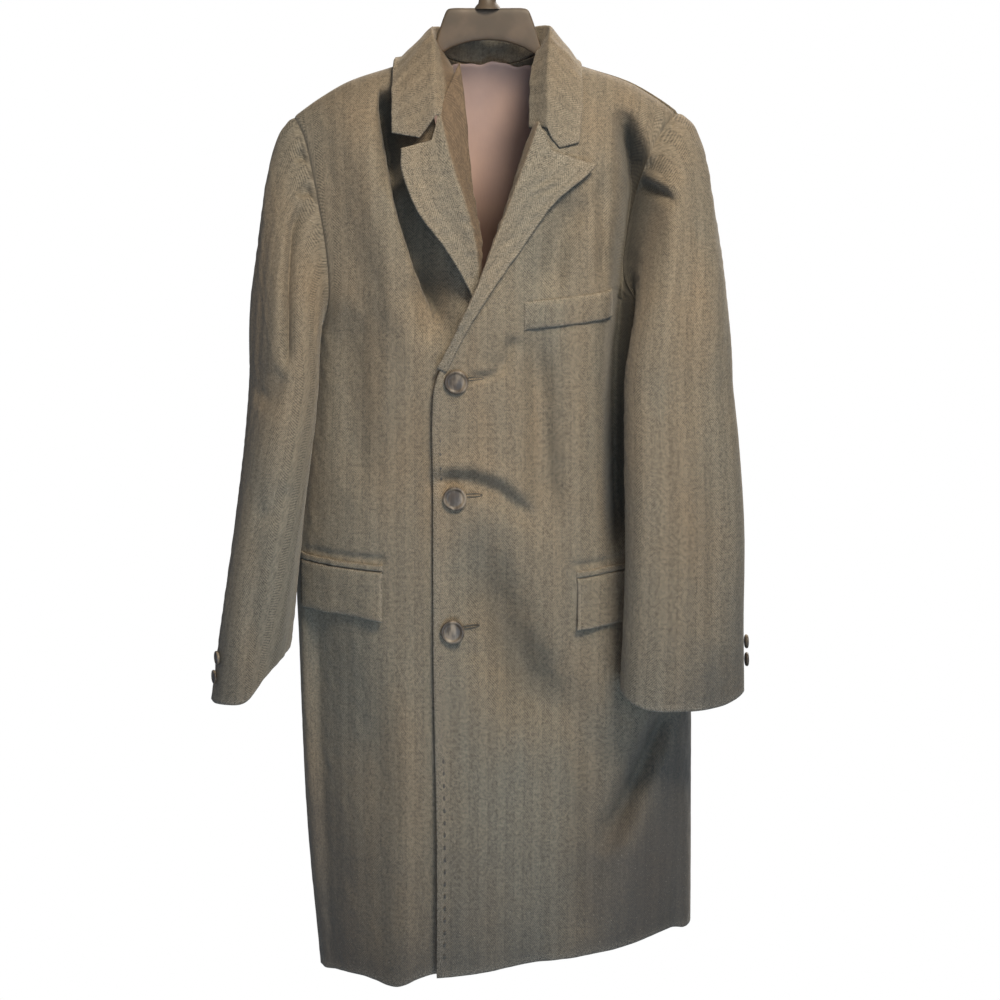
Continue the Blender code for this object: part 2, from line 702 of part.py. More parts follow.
def wall(name, grid, normals, thickness, sewn=(), lift=0.0):
    """Closed wall of cloth: an outside grid, an inside grid and a rim between them."""
    outside = [[p + n * lift for p, n in zip(ps, ns)] for ps, ns in zip(grid, normals)]
    inside = [[p - n * thickness for p, n in zip(ps, ns)] for ps, ns in zip(outside, normals)]
    outside = trimmed(outside, sewn, SEAM / 2.0)
    inside = trimmed(inside, sewn, SEAM / 2.0)
    rows, columns = len(grid), len(grid[0])
    bm = bmesh.new()
    outer = [[bm.verts.new(point) for point in points] for points in outside]
    inner = [[bm.verts.new(point) for point in points] for points in inside]
    for row in range(rows - 1):
        for column in range(columns - 1):
            corners = ((row, column), (row, column + 1), (row + 1, column + 1), (row + 1, column))
            for half in (corners[:3], (corners[0], corners[2], corners[3])):
                bm.faces.new([outer[r][c] for r, c in half])
                bm.faces.new([inner[r][c] for r, c in reversed(half)])
    border = [(0, c) for c in range(columns)] + [(r, columns - 1) for r in range(1, rows)]
    border += [(rows - 1, c) for c in range(columns - 2, -1, -1)] + [(r, 0) for r in range(rows - 2, 0, -1)]
    for (r, c), (next_r, next_c) in zip(border, border[1:] + border[:1]):
        rim = [outer[r][c], inner[r][c], inner[next_r][next_c], outer[next_r][next_c]]
        if place_key(grid[r][c]) > place_key(grid[next_r][next_c]):
            rim = rim[1:] + rim[:1]
        bm.faces.new(rim[:3])
        bm.faces.new([rim[0], rim[2], rim[3]])
    return finish(name, bm)


def finish(name, bm):
    """Object made from a bmesh and put in the coat's collection."""
    bmesh.ops.recalc_face_normals(bm, faces=bm.faces)
    mesh = bpy.data.meshes.new(name)
    bm.to_mesh(mesh)
    bm.free()
    item = bpy.data.objects.new(name, mesh)
    coat.objects.link(item)
    return item


def finish_material(item, colour, roughness):
    """Principled material of its own for a piece."""
    material = bpy.data.materials.new(item.name)
    material.use_nodes = True
    shader = material.node_tree.nodes["Principled BSDF"]
    shader.inputs["Base Color"].default_value = (*colour, 1.0)
    shader.inputs["Roughness"].default_value = roughness
    material.diffuse_color = (*colour, 1.0)
    item.data.materials.append(material)


def strip_sheet(strip):
    """Grid of a pocket strip on a front, bottom row first, columns from left to right."""
    side = 1 if strip.x_in > 0.0 else -1
    rows = []
    for row in range(strip.rows + 1):
        points = []
        for column in range(strip.columns + 1):
            across = column / strip.columns
            x = mix(strip.x_in, strip.x_out, across)
            top = mix(strip.top_in, strip.top_out, across)
            z = top - strip.height * (1.0 - row / strip.rows)
            points.append(Vector((x, laid_y(side, x, z), z)))
        if side < 0:
            points.reverse()
        rows.append(points)
    return rows


def button(name, radius, depth, place, facing):
    """Round dished button turned about its own axis and seated on the cloth."""
    profile = [(0.0, 0.0), (0.62, 0.0), (0.95, 0.35), (1.0, 0.62), (0.90, 1.0), (0.72, 0.95),
               (0.60, 0.66), (0.0, 0.60)]
    bm = bmesh.new()
    ring = [bm.verts.new((reach * radius, 0.0, height * depth)) for reach, height in profile]
    for low, high in zip(ring, ring[1:]):
        bm.edges.new((low, high))
    bmesh.ops.spin(bm, geom=bm.verts[:] + bm.edges[:], cent=(0, 0, 0), axis=(0, 0, 1),
                   angle=2.0 * math.pi, steps=BUTTON_STEPS, use_merge=True)
    bmesh.ops.remove_doubles(bm, verts=bm.verts, dist=1e-6)
    turn = facing.to_track_quat("Z", "Y").to_matrix().to_4x4()
    bmesh.ops.transform(bm, matrix=Matrix.Translation(place) @ turn, verts=bm.verts)
    return finish(name, bm)


def front_normal(side, x, z):
    step = 0.004
    across = Vector((2 * step, front_y(side, x + step, z) - front_y(side, x - step, z), 0.0))
    up = Vector((0.0, front_y(side, x, z + step) - front_y(side, x, z - step), 2 * step))
    return across.cross(up).normalized()


def sleeve_place(side, angle, z):
    """Point and outward direction on a sleeve near the cuff."""
    row = along(SLEEVES[side], z)
    step = 0.05
    here = ring_point(side, row, angle)
    across = ring_point(side, row, angle + step) - ring_point(side, row, angle - step)
    outward = Vector((-across.y, across.x, 0.0)).normalized()
    middle = Vector((row.x, row.y, here.z))
    if outward.dot(here - middle) < 0.0:
        outward.negate()
    return here, outward


def hanger_body():
    """Board and arms lofted through their upright sections."""
    half_way = list(BOARD)
    for arm in ARMS:
        top = ridge(arm.x) - ARM_CLEAR
        half_way.append(Board(arm.x, top, top - arm.height, arm.depth))
    stations = [Board(-row.x, *row[1:]) for row in reversed(half_way[1:])] + half_way
    bm = bmesh.new()
    loops = []
    for row in stations:
        half = row.depth / 2.0
        cut = min(ARM_CHAMFER, 0.3 * row.depth)
        shoulder = row.top - (half - cut) ** 2 / (2.0 * ARM_CROWN)
        outline = [(-half, row.bottom + cut), (-half, shoulder - cut), (cut - half, shoulder), (0.0, row.top),
                   (half - cut, shoulder), (half, shoulder - cut), (half, row.bottom + cut),
                   (half - cut, row.bottom), (cut - half, row.bottom)]
        loops.append([bm.verts.new((row.x, y, z)) for y, z in outline])
    for low, high in zip(loops, loops[1:]):
        for step in range(len(low)):
            after = (step + 1) % len(low)
            bm.faces.new([low[step], low[after], high[after], high[step]])
    bm.faces.new(loops[0])
    bm.faces.new(reversed(loops[-1]))
    return finish("hanger", bm)


def hook():
    """Moulded hook: a neck and a crook, from a curve with a round section."""
    radius = HOOK_INNER + HOOK_BAR
    foot = BOARD[0].top + SEAM
    path = [(0.0, foot, HOOK_FOOT), (0.0, foot + 0.004, HOOK_NECK), (0.0, foot + 0.010, HOOK_NECK),
            (0.004, foot + 0.016, 0.0078)]
    for step in range(HOOK_TURN + 1):
        turn = math.radians(mix(-42.0, 205.0, step / HOOK_TURN))
        path.append((radius * math.cos(turn), radius * math.sin(turn) - HOOK_INNER, HOOK_BAR))
    curve = bpy.data.curves.new("hook", "CURVE")
    curve.dimensions = "3D"
    curve.bevel_depth = 1.0
    curve.bevel_resolution = HOOK_SIDES
    curve.use_fill_caps = True
    spline = curve.splines.new("POLY")
    spline.points.add(len(path) - 1)
    for point, (x, z, thick) in zip(spline.points, path):
        point.co = (x, 0.0, z, 1.0)
        point.radius = thick
    draft = bpy.data.objects.new("hook_path", curve)
    coat.objects.link(draft)
    mesh = bpy.data.meshes.new_from_object(draft.evaluated_get(bpy.context.evaluated_depsgraph_get()))
    bpy.data.objects.remove(draft)
    bm = bmesh.new()
    bm.from_mesh(mesh)
    bpy.data.meshes.remove(mesh)
    bmesh.ops.remove_doubles(bm, verts=bm.verts, dist=1e-6)
    return finish("hook", bm)


for leftover in list(bpy.data.objects):
    bpy.data.objects.remove(leftover)
coat = bpy.data.collections.new("long_wool_coat")
bpy.context.scene.collection.children.link(coat)

WOOL = (0.205, 0.180, 0.140)
SATIN = (0.400, 0.270, 0.240)
HORN = (0.030, 0.028, 0.027)
MOULDED = (0.045, 0.040, 0.034)

FRONTS = {"front_left": 1, "front_right": -1}
fronts = {}
panels = {"front_left": front_sheet(1), "front_right": front_sheet(-1), "back": back_sheet()}
for side, label in ((1, "left"), (-1, "right")):
    top_half, under_half = sleeve_sheets(side)
    panels["sleeve_" + label + "_top"] = top_half
    panels["sleeve_" + label + "_under"] = under_half
normals = sewn_normals(panels)
sewn_sides = {
    "front_left": ("right", "top"),
    "front_right": ("left", "top"),
    "back": ("left", "right", "top"),
    "sleeve_left_top": ("left", "right", "top"),
    "sleeve_left_under": ("left", "right", "top"),
    "sleeve_right_top": ("left", "right", "top"),
    "sleeve_right_under": ("left", "right", "top"),
}
for name, grid in panels.items():
    panel = wall(name, grid, normals[name], CLOTH, sewn_sides[name])
    finish_material(panel, WOOL, 0.95)
    if name in FRONTS:
        places = [corner.co for corner in panel.data.vertices]
        fronts[FRONTS[name]] = BVHTree.FromPolygons(places, [face.vertices for face in panel.data.polygons])

laid = {"lapel_left": lapel_sheet(1), "lapel_right": lapel_sheet(-1), "collar": collar_sheet()}
for name, grid in laid.items():
    finish_material(wall(name, grid, sewn_normals({name: grid})[name], CLOTH), WOOL, 0.95)

for name, strip in STRIPS.items():
    grid = strip_sheet(strip)
    pocket = wall(name, grid, sewn_normals({name: grid})[name], strip.thick, lift=strip.lift + strip.thick)
    finish_material(pocket, WOOL, 0.95)

back_grid, back_normals = panels["back"], normals["back"]
inner_columns = slice(LINING_INSET, -LINING_INSET)
inner_rows = slice(LINING_FROM, LINING_TO)
lining_grid = [[p - n * (CLOTH + LINING_LIFT) for p, n in zip(ps[inner_columns], ns[inner_columns])]
               for ps, ns in zip(back_grid[inner_rows], back_normals[inner_rows])]
lining_normals = [ns[inner_columns] for ns in back_normals[inner_rows]]
finish_material(wall("lining", lining_grid, lining_normals, LINING), SATIN, 0.35)

for name, spot in BUTTONS.items():
    facing = front_normal(1, spot.x, spot.z)
    seat = Vector((spot.x, laid_y(1, spot.x, spot.z), spot.z)) + facing * BUTTON_LIFT
    finish_material(button(name, BUTTON_RADIUS, BUTTON_DEPTH, seat, facing), HORN, 0.25)
for name, spot in CUFF_BUTTONS.items():
    place, facing = sleeve_place(spot.side, math.radians(spot.angle), spot.z)
    seat = place + facing * BUTTON_LIFT
    finish_material(button(name, CUFF_BUTTON_RADIUS, CUFF_BUTTON_DEPTH, seat, facing), HORN, 0.25)

finish_material(hanger_body(), MOULDED, 0.55)
finish_material(hook(), MOULDED, 0.45)
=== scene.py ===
"""Looks of a long herringbone wool coat hung on a moulded hanger.

Metres, +Z up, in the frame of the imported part: the origin is the inside top of the hook,
the coat's front faces -Y and the wearer's left is at +X.
"""

import logging
import math
from dataclasses import dataclass
from enum import Enum
from typing import Generic, Sequence, TypeVar

import bmesh
import bpy
import numpy as np
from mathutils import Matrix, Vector


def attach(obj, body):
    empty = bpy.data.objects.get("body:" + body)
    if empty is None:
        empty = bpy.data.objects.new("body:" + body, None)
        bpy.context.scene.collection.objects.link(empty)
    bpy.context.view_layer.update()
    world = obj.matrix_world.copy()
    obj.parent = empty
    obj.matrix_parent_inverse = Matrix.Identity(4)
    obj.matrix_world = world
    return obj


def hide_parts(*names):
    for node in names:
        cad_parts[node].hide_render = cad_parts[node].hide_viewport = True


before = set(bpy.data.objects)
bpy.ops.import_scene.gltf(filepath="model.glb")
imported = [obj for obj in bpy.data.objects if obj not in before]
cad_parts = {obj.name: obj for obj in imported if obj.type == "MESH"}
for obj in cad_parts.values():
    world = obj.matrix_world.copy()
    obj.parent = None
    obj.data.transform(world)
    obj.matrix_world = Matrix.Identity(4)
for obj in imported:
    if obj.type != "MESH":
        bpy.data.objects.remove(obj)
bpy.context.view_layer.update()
LOG = logging.getLogger("coat")
PREFIX = "coat_"

# Waves in an uneven surface, and the sum of them that counts as full height
WAVES = 14
FULL_WAVES = 5.0
# Distance of a crease's lip from its line, in widths
LIP_AT = 1.7
# Depth of a crease at which painted shade begins on cloth in a fold, and how much more makes that shade full
# on the fold's floor
FOLD_SHADE_SPAN = (0.014, 0.032)
# Share of the way to a side seam past which the cloth counts as at the seam
NEARLY_ONE = 0.999999
# Cosine past which the two legs of a corner count as one line, and the part of a leg that a turn may take
STRAIGHT = 0.9999
LEG_SHARE = 0.8

Array = np.ndarray
Place = tuple[float, float]
Triple = tuple[float, float, float]
Colour = tuple[float, float, float, float]
Value = TypeVar("Value")
Item = bpy.types.Object
Material = bpy.types.Material
Node = bpy.types.Node
Socket = bpy.types.NodeSocket
Tree = bpy.types.NodeTree


class Side(Enum):
    """Side of the coat as worn."""

    LEFT = 1
    RIGHT = -1

    @property
    def label(self) -> str:
        """Word used in the names of pieces."""
        return self.name.lower()


class Slot(Enum):
    """Material slots of the record."""

    WOOL = "wool"
    LINING = "lining"
    BUTTON = "button"
    HANGER = "hanger"


@dataclass(frozen=True)
class Pair(Generic[Value]):
    """One value for each side of the coat."""

    left: Value
    right: Value

    def __getitem__(self, side: Side) -> Value:
        """Value of a side."""
        return self.left if side is Side.LEFT else self.right


def mix(a: Array, b: Array, t: Array) -> Array:
    """Value between a and b at share t."""
    return a + (b - a) * t


def ease(t: Array) -> Array:
    """Smooth step from 0 to 1."""
    t = np.clip(t, 0.0, 1.0)
    return t * t * (3.0 - 2.0 * t)


def stepped(t: Array, span: Place) -> Array:
    """Smooth step from 0 to 1 that begins at the span's first number and takes the second."""
    return ease((t - span[0]) / span[1])


def unit(vectors: Array) -> Array:
    """Vectors along the last axis brought to length 1."""
    length = np.linalg.norm(vectors, axis=-1, keepdims=True)
    return vectors / np.maximum(length, 1e-9)


class Table:
    """Rows of named sizes over a key, read between rows on a cubic through them."""

    def __init__(self, names: str, *rows: Sequence[float]) -> None:
        """Keep the columns of a list of rows.

        Args:
            names: Names of the columns; the first one is the key.
            rows: Rows sorted by their key.
        """
        self.keys, *columns = np.array(rows, float).T
        self.columns = dict(zip(names.split()[1:], columns))

    def at(self, key: Array, column: str) -> Array:
        """Value of a column at any key.

        Args:
            key: One key or an array of them.
            column: Name of the column.

        Returns:
            Value or array of values of the same shape as the key.
        """
        keys, values = self.keys, self.columns[column]
        last = len(keys) - 1
        before = np.maximum(np.arange(last + 1) - 1, 0)
        after = np.minimum(np.arange(last + 1) + 1, last)
        slopes = (values[after] - values[before]) / (keys[after] - keys[before])
        key = np.clip(key, keys[0], keys[last])
        low = np.clip(np.searchsorted(keys, key) - 1, 0, last - 1)
        span = keys[low + 1] - keys[low]
        t = (key - keys[low]) / span
        square, cube = t ** 2, t ** 3
        from_low = (2 * cube - 3 * square + 1) * values[low] + (cube - 2 * square + t) * span * slopes[low]
        from_high = (3 * square - 2 * cube) * values[low + 1] + (cube - square) * span * slopes[low + 1]
        return from_low + from_high


@dataclass(frozen=True)
class Crease:
    """Soft trough (or, below zero, ridge) along a line of places (x, z) seen from the front.

    The lip is a low ridge beside it, on the left of its run. Wide is its width on that side,
    where it differs, and tuck is how far its floor runs in sideways under the cloth beside it.
    """

    line: tuple[Place, ...]
    width: float
    depth: float
    lip: float = 0.0
    fade: float = 0.30
    wide: float = 0.0
    tuck: float = 0.0

    def reach(self, x: Array, z: Array) -> tuple[Array, Array]:
        """Distance from the crease's line and strength along it.

        Args:
            x: Places across.
            z: Places in height.

        Returns:
            Distance, above zero on the left of the run, and a strength that fades to the ends.
        """
        points = np.array(self.line)
        steps = np.linalg.norm(np.diff(points, axis=0), axis=1)
        starts = np.concatenate(([0.0], np.cumsum(steps)))
        nearest = np.full(np.shape(x), np.inf)
        signed = np.zeros(np.shape(x))
        run = np.zeros(np.shape(x))
        for index, length in enumerate(steps):
            ax, az = points[index]
            dx, dz = (points[index + 1] - points[index]) / length
            along = np.clip((x - ax) * dx + (z - az) * dz, 0.0, length)
            off_x, off_z = x - ax - along * dx, z - az - along * dz
            gap = np.hypot(off_x, off_z)
            closer = gap < nearest
            nearest = np.where(closer, gap, nearest)
            signed = np.where(closer, np.sign(dx * off_z - dz * off_x) * gap, signed)
            run = np.where(closer, (starts[index] + along) / starts[-1], run)
        return signed, ease(run / self.fade) * ease((1.0 - run) / self.fade)

    def trough(self, signed: Array) -> Array:
        """Share of the depth at a distance from the line."""
        return np.exp(-(signed / np.where(signed > 0.0, self.wide or self.width, self.width)) ** 2)

    def press(self, x: Array, z: Array) -> Array:
        """How far the crease presses the cloth in.

        Args:
            x: Places across.
            z: Places in height.

        Returns:
            Depth at each place.
        """
        signed, strength = self.reach(x, z)
        beside = np.exp(-((signed - LIP_AT * self.width) / self.width) ** 2)
        return strength * (self.depth * self.trough(signed) - self.lip * beside)

    def shift(self, x: Array, z: Array) -> Array:
        """How far the crease carries the cloth sideways at each place."""
        signed, strength = self.reach(x, z)
        return self.tuck * strength * self.trough(signed)


def pressed(creases: Sequence[Crease], x: Array, z: Array) -> Array:
    """Sum of what several creases press in."""
    return sum((crease.press(x, z) for crease in creases), np.zeros(np.shape(x)))


def carried(creases: Sequence[Crease], x: Array, z: Array) -> Array:
    """Sum of what several creases carry sideways."""
    tucked = [crease for crease in creases if crease.tuck]
    return sum((crease.shift(x, z) for crease in tucked), np.zeros(np.shape(x)))


def undulation(across: Array, along: Array, seed: int, shortest: float, longest: float) -> Array:
    """Uneven gentle waves over cloth, about 1 at their highest.

    Args:
        across: Places across in metres.
        along: Places along in metres.
        seed: Number that fixes the waves.
        shortest: Shortest wave.
        longest: Longest wave.

    Returns:
        Height at each place.
    """
    chance = np.random.default_rng(seed)
    total = np.zeros(np.broadcast(across, along).shape)
    for _ in range(WAVES):
        turn, phase = chance.uniform(0.0, 2.0 * math.pi, 2)
        length = chance.uniform(shortest, longest)
        place = across * math.cos(turn) + along * math.sin(turn)
        total = total + np.sin(2.0 * math.pi * place / length + phase)
    return total / FULL_WAVES


# Sections of the body by height: sides as seen from the front, front, back and side seams
LEVELS = Table(
    "z left right front back side",
    (-1.21, -0.198, 0.241, -0.116, 0.122, 0.02),
    (-1.0, -0.214, 0.239, -0.108, 0.112, 0.02),
    (-0.8, -0.22, 0.235, -0.1, 0.1, 0.018),
    (-0.7, -0.222, 0.222, -0.098, 0.098, 0.015),
    (-0.6, -0.214, 0.21, -0.096, 0.096, 0.012),
    (-0.43, -0.197, 0.195, -0.098, 0.102, 0.008),
    (-0.38, -0.207, 0.205, -0.098, 0.104, 0.005),
    (-0.25, -0.224, 0.225, -0.096, 0.1, 0.0),
    (-0.1, -0.238, 0.238, -0.09, 0.092, 0.0),
)

# Height of the shoulder ridge at a reach from the middle
RIDGE = Table(
    "x z",
    (0.0, -0.11),
    (0.062, -0.118),
    (0.102, -0.133),
    (0.154, -0.15),
    (0.188, -0.169),
    (0.219, -0.191),
)

# Armhole edges by share of the panel's height: on both fronts and on the back
ARMHOLES = Table(
    "share right left back",
    (0.753, -0.197, 0.195, 0.196),
    (0.7605, -0.192, 0.1895, 0.195),
    (0.775, -0.185, 0.175, 0.192),
    (0.806, -0.179, 0.157, 0.19),
    (0.858, -0.182, 0.16, 0.19),
    (0.912, -0.191, 0.17, 0.194),
    (0.952, -0.199, 0.181, 0.2),
    (0.981, -0.207, 0.196, 0.206),
    (0.9955, -0.215, 0.208, 0.211),
    (1.0, -0.219, 0.212, 0.215),
)

# Inner edges of the fronts by height
EDGES = Pair(
    left=Table(
        "z x",
        (-1.2, -0.058), (-1.0, -0.057), (-0.8, -0.06),
        (-0.6, -0.06), (-0.49, -0.059), (-0.455, -0.048),
        (-0.418, -0.028), (-0.375, -0.008), (-0.325, 0.011),
        (-0.298, 0.023), (-0.257, 0.039), (-0.223, 0.052),
        (-0.19, 0.063), (-0.15, 0.066), (-0.118, 0.062),
    ),
    right=Table(
        "z x",
        (-1.2, -0.012), (-0.7, -0.012), (-0.46, -0.013),
        (-0.4, -0.012), (-0.345, -0.0145), (-0.321, -0.018),
        (-0.283, -0.028), (-0.257, -0.038), (-0.222, -0.05),
        (-0.185, -0.0575), (-0.15, -0.064), (-0.118, -0.062),
    ),
)

# Lapels from the break up to the gorge: roll line, outer edge and the facing that turns in
LAPELS = Pair(
    left=Table(
        "step x_roll z_roll x_edge z_edge rise lean turn lift",
        (0.0, -0.0545, -0.46, -0.0455, -0.464, 0.003, 0.001, 0.0018, 0.0),
        (0.17, -0.033, -0.418, -0.0235, -0.419, 0.006, 0.0015, 0.003, 0.001),
        (0.34, -0.013, -0.375, 0.0045, -0.374, 0.0085, 0.0018, 0.004, 0.0025),
        (0.54, 0.0062, -0.3245, 0.0395, -0.325, 0.01, 0.0025, 0.008, 0.0045),
        (0.7, 0.0225, -0.283, 0.07, -0.282, 0.0105, 0.0035, 0.013, 0.006),
        (0.85, 0.037, -0.243, 0.099, -0.257, 0.0105, 0.0045, 0.017, 0.01),
        (1.0, 0.056, -0.193, 0.1185, -0.239, 0.01, 0.006, 0.02, 0.013),
    ),
    right=Table(
        "step x_roll z_roll x_edge z_edge rise lean turn lift",
        (0.0, -0.009, -0.405, -0.005, -0.406, 0.003, 0.0005, 0.0014, 0.0),
        (0.2, -0.0095, -0.365, -0.022, -0.368, 0.004, 0.002, 0.004, 0.002),
        (0.4, -0.013, -0.325, -0.045, -0.329, 0.007, 0.007, 0.01, 0.006),
        (0.6, -0.023, -0.284, -0.074, -0.29, 0.0085, 0.011, 0.017, 0.009),
        (0.8, -0.038, -0.238, -0.0915, -0.248, 0.0095, 0.019, 0.022, 0.01),
        (1.0, -0.0525, -0.178, -0.0935, -0.221, 0.01, 0.022, 0.026, 0.008),
    ),
)

# Collar from the middle of the back to the gorge: roll, outer edge, foot of the stand and drop
COLLAR = Table(
    "step roll_x roll_y roll_z edge_x edge_y edge_z stand_x stand_y stand_z drop",
    (0, 0.0, 0.06, -0.088, 0.0, 0.074, -0.152, 0.0, 0.0455, -0.1325, 0.0),
    (1, 0.034, 0.051, -0.088, 0.057, 0.062, -0.15, 0.031, 0.039, -0.128, 0.0),
    (2, 0.056, 0.027, -0.088, 0.092, 0.033, -0.141, 0.052, 0.022, -0.1195, 0.0),
    (3, 0.061, 0.001, -0.089, 0.102, 0.0, -0.1285, 0.0585, 0.001, -0.1155, 0.0),
    (4, 0.0595, -0.03, -0.102, 0.1045, -0.042, -0.145, 0.052, -0.013, -0.123, 0.0),
    (5, 0.0575, -0.064, -0.137, 0.105, -0.064, -0.175, 0.0465, -0.04, -0.145, 0.4),
    (6, 0.0565, -0.084, -0.184, 0.104, -0.075, -0.204, 0.0455, -0.062, -0.185, 1.0),
)

# Rings of the sleeves: centre, half sizes, turn in degrees and tilt of the cuff
SLEEVES = Pair(
    left=Table(
        "z x y out fore turn tilt",
        (-0.836, 0.218, -0.108, 0.0735, 0.044, -20.0, 1.0),
        (-0.75, 0.218, -0.112, 0.071, 0.044, -21.0, 0.3),
        (-0.64, 0.2185, -0.109, 0.07, 0.044, -22.0, 0.0),
        (-0.54, 0.215, -0.1, 0.066, 0.044, -24.0, 0.0),
        (-0.48, 0.211, -0.09, 0.063, 0.044, -25.0, 0.0),
    ),
    right=Table(
        "z x y out fore turn tilt",
        (-0.84, -0.269, -0.056, 0.044, 0.058, -10.0, 1.0),
        (-0.76, -0.26, -0.058, 0.042, 0.062, -4.0, 0.35),
        (-0.64, -0.246, -0.056, 0.04, 0.066, 6.0, 0.0),
        (-0.54, -0.2355, -0.049, 0.037, 0.069, 14.0, 0.0),
        (-0.48, -0.2305, -0.041, 0.035, 0.071, 18.0, 0.0),
    ),
)

FRONT_CREASES = (
    # Hollows beside the lapels
    Crease(((-0.114, -0.133), (-0.11, -0.18), (-0.103, -0.215), (-0.096, -0.255), (-0.087, -0.3),
            (-0.073, -0.35), (-0.055, -0.395), (-0.042, -0.425)),
           0.0065, 0.043, fade=0.19, wide=0.042, tuck=-0.012),
    Crease(((-0.116, -0.16), (-0.11, -0.195), (-0.103, -0.235), (-0.094, -0.285)),
           0.013, 0.026, fade=0.34),
    Crease(((-0.08, -0.35), (-0.06, -0.4), (-0.046, -0.442)), 0.018, 0.021, fade=0.35),
    Crease(((-0.132, -0.18), (-0.124, -0.29), (-0.108, -0.36), (-0.09, -0.47)), 0.02, -0.008),
    Crease(((-0.166, -0.2), (-0.16, -0.3), (-0.15, -0.4)), 0.02, 0.003),
    Crease(((0.123, -0.236), (0.13, -0.31), (0.129, -0.386)), 0.009, 0.012, wide=0.014),
    Crease(((0.106, -0.262), (0.084, -0.31), (0.06, -0.392)), 0.018, 0.015),
    # Drag down the wearer's left armhole and under that arm
    Crease(((0.143, -0.165), (0.15, -0.19), (0.157, -0.217), (0.163, -0.24), (0.164, -0.272),
            (0.158, -0.328), (0.151, -0.385), (0.146, -0.441), (0.144, -0.5), (0.145, -0.59),
            (0.148, -0.69)), 0.0105, 0.058, fade=0.13, wide=0.013),
    Crease(((0.15, -0.195), (0.155, -0.24), (0.154, -0.29), (0.149, -0.34), (0.146, -0.4)),
           0.012, 0.032, fade=0.32),
    Crease(((0.16, -0.33), (0.1475, -0.431), (0.143, -0.589), (0.15, -0.7), (0.165, -0.88)),
           0.026, 0.014),
    # Dart below the chest pocket and the pull of the buttons
    Crease(((0.048, -0.4), (0.057, -0.48), (0.067, -0.608), (0.07, -0.67)), 0.016, 0.016),
    Crease(((-0.022, -0.471), (0.003, -0.47), (0.018, -0.463)), 0.005, 0.006, lip=0.0012),
    Crease(((0.01, -0.472), (0.0226, -0.446), (0.031, -0.421)), 0.007, 0.009),
    Crease(((-0.075, -0.592), (-0.04, -0.588), (-0.0194, -0.588), (0.0083, -0.5985), (0.03, -0.6165),
            (0.058, -0.644)), 0.011, 0.013, lip=0.003, fade=0.26),
    Crease(((-0.03, -0.775), (-0.005, -0.79), (0.02, -0.815)), 0.008, 0.004),
    # Skirt, wearer's left
    Crease(((-0.016, -0.625), (0.003, -0.715), (0.019, -0.768), (0.052, -0.83), (0.105, -0.895)),
           0.034, 0.034, fade=0.36, wide=0.03),
    Crease(((0.108, -0.8), (0.118, -0.93), (0.117, -1.03), (0.118, -1.14)), 0.022, 0.018, fade=0.3),
    Crease(((0.214, -0.835), (0.186, -0.905), (0.152, -0.98), (0.124, -1.03)), 0.016, 0.034, fade=0.3),
    Crease(((0.165, -0.94), (0.172, -1.04), (0.172, -1.13)), 0.018, -0.006),
    Crease(((0.222, -0.9), (0.222, -1.3), (0.222, -1.7)), 0.06, 0.044, fade=0.45),
    Crease(((0.04, -0.93), (0.046, -1.03), (0.05, -1.13)), 0.03, -0.005),
    # Skirt, wearer's right
    Crease(((-0.196, -0.66), (-0.208, -0.907), (-0.2, -1.3)), 0.062, 0.027, fade=0.28),
    Crease(((-0.1, -0.74), (-0.0955, -0.954), (-0.102, -1.3)), 0.024, -0.012, fade=0.35),
    Crease(((-0.16, -0.38), (-0.15, -0.48), (-0.142, -0.62)), 0.022, 0.009),
    # Along the tops of the hip pockets
    Crease(((0.09, -0.6855), (0.15, -0.682), (0.215, -0.678)), 0.004, 0.0045, fade=0.1),
    Crease(((-0.11, -0.68), (-0.16, -0.6785), (-0.22, -0.676)), 0.004, 0.0045, fade=0.1),
)

BACK_CREASES = (
    Crease(((-0.085, -0.38), (-0.095, -0.7), (-0.108, -1.24)), 0.026, 0.02),
    Crease(((0.088, -0.42), (0.1, -0.76), (0.118, -1.24)), 0.028, 0.021),
    Crease(((0.01, -0.58), (0.008, -0.85), (0.003, -1.24)), 0.03, 0.018),
    Crease(((-0.15, -0.24), (-0.11, -0.3), (-0.06, -0.33)), 0.016, 0.009),
    Crease(((0.155, -0.25), (0.115, -0.305), (0.07, -0.345)), 0.015, 0.008),
    Crease(((0.165, -0.64), (0.14, -0.74), (0.135, -0.86)), 0.018, 0.009),
    Crease(((-0.165, -0.52), (-0.13, -0.6), (-0.12, -0.72)), 0.018, 0.01),
)

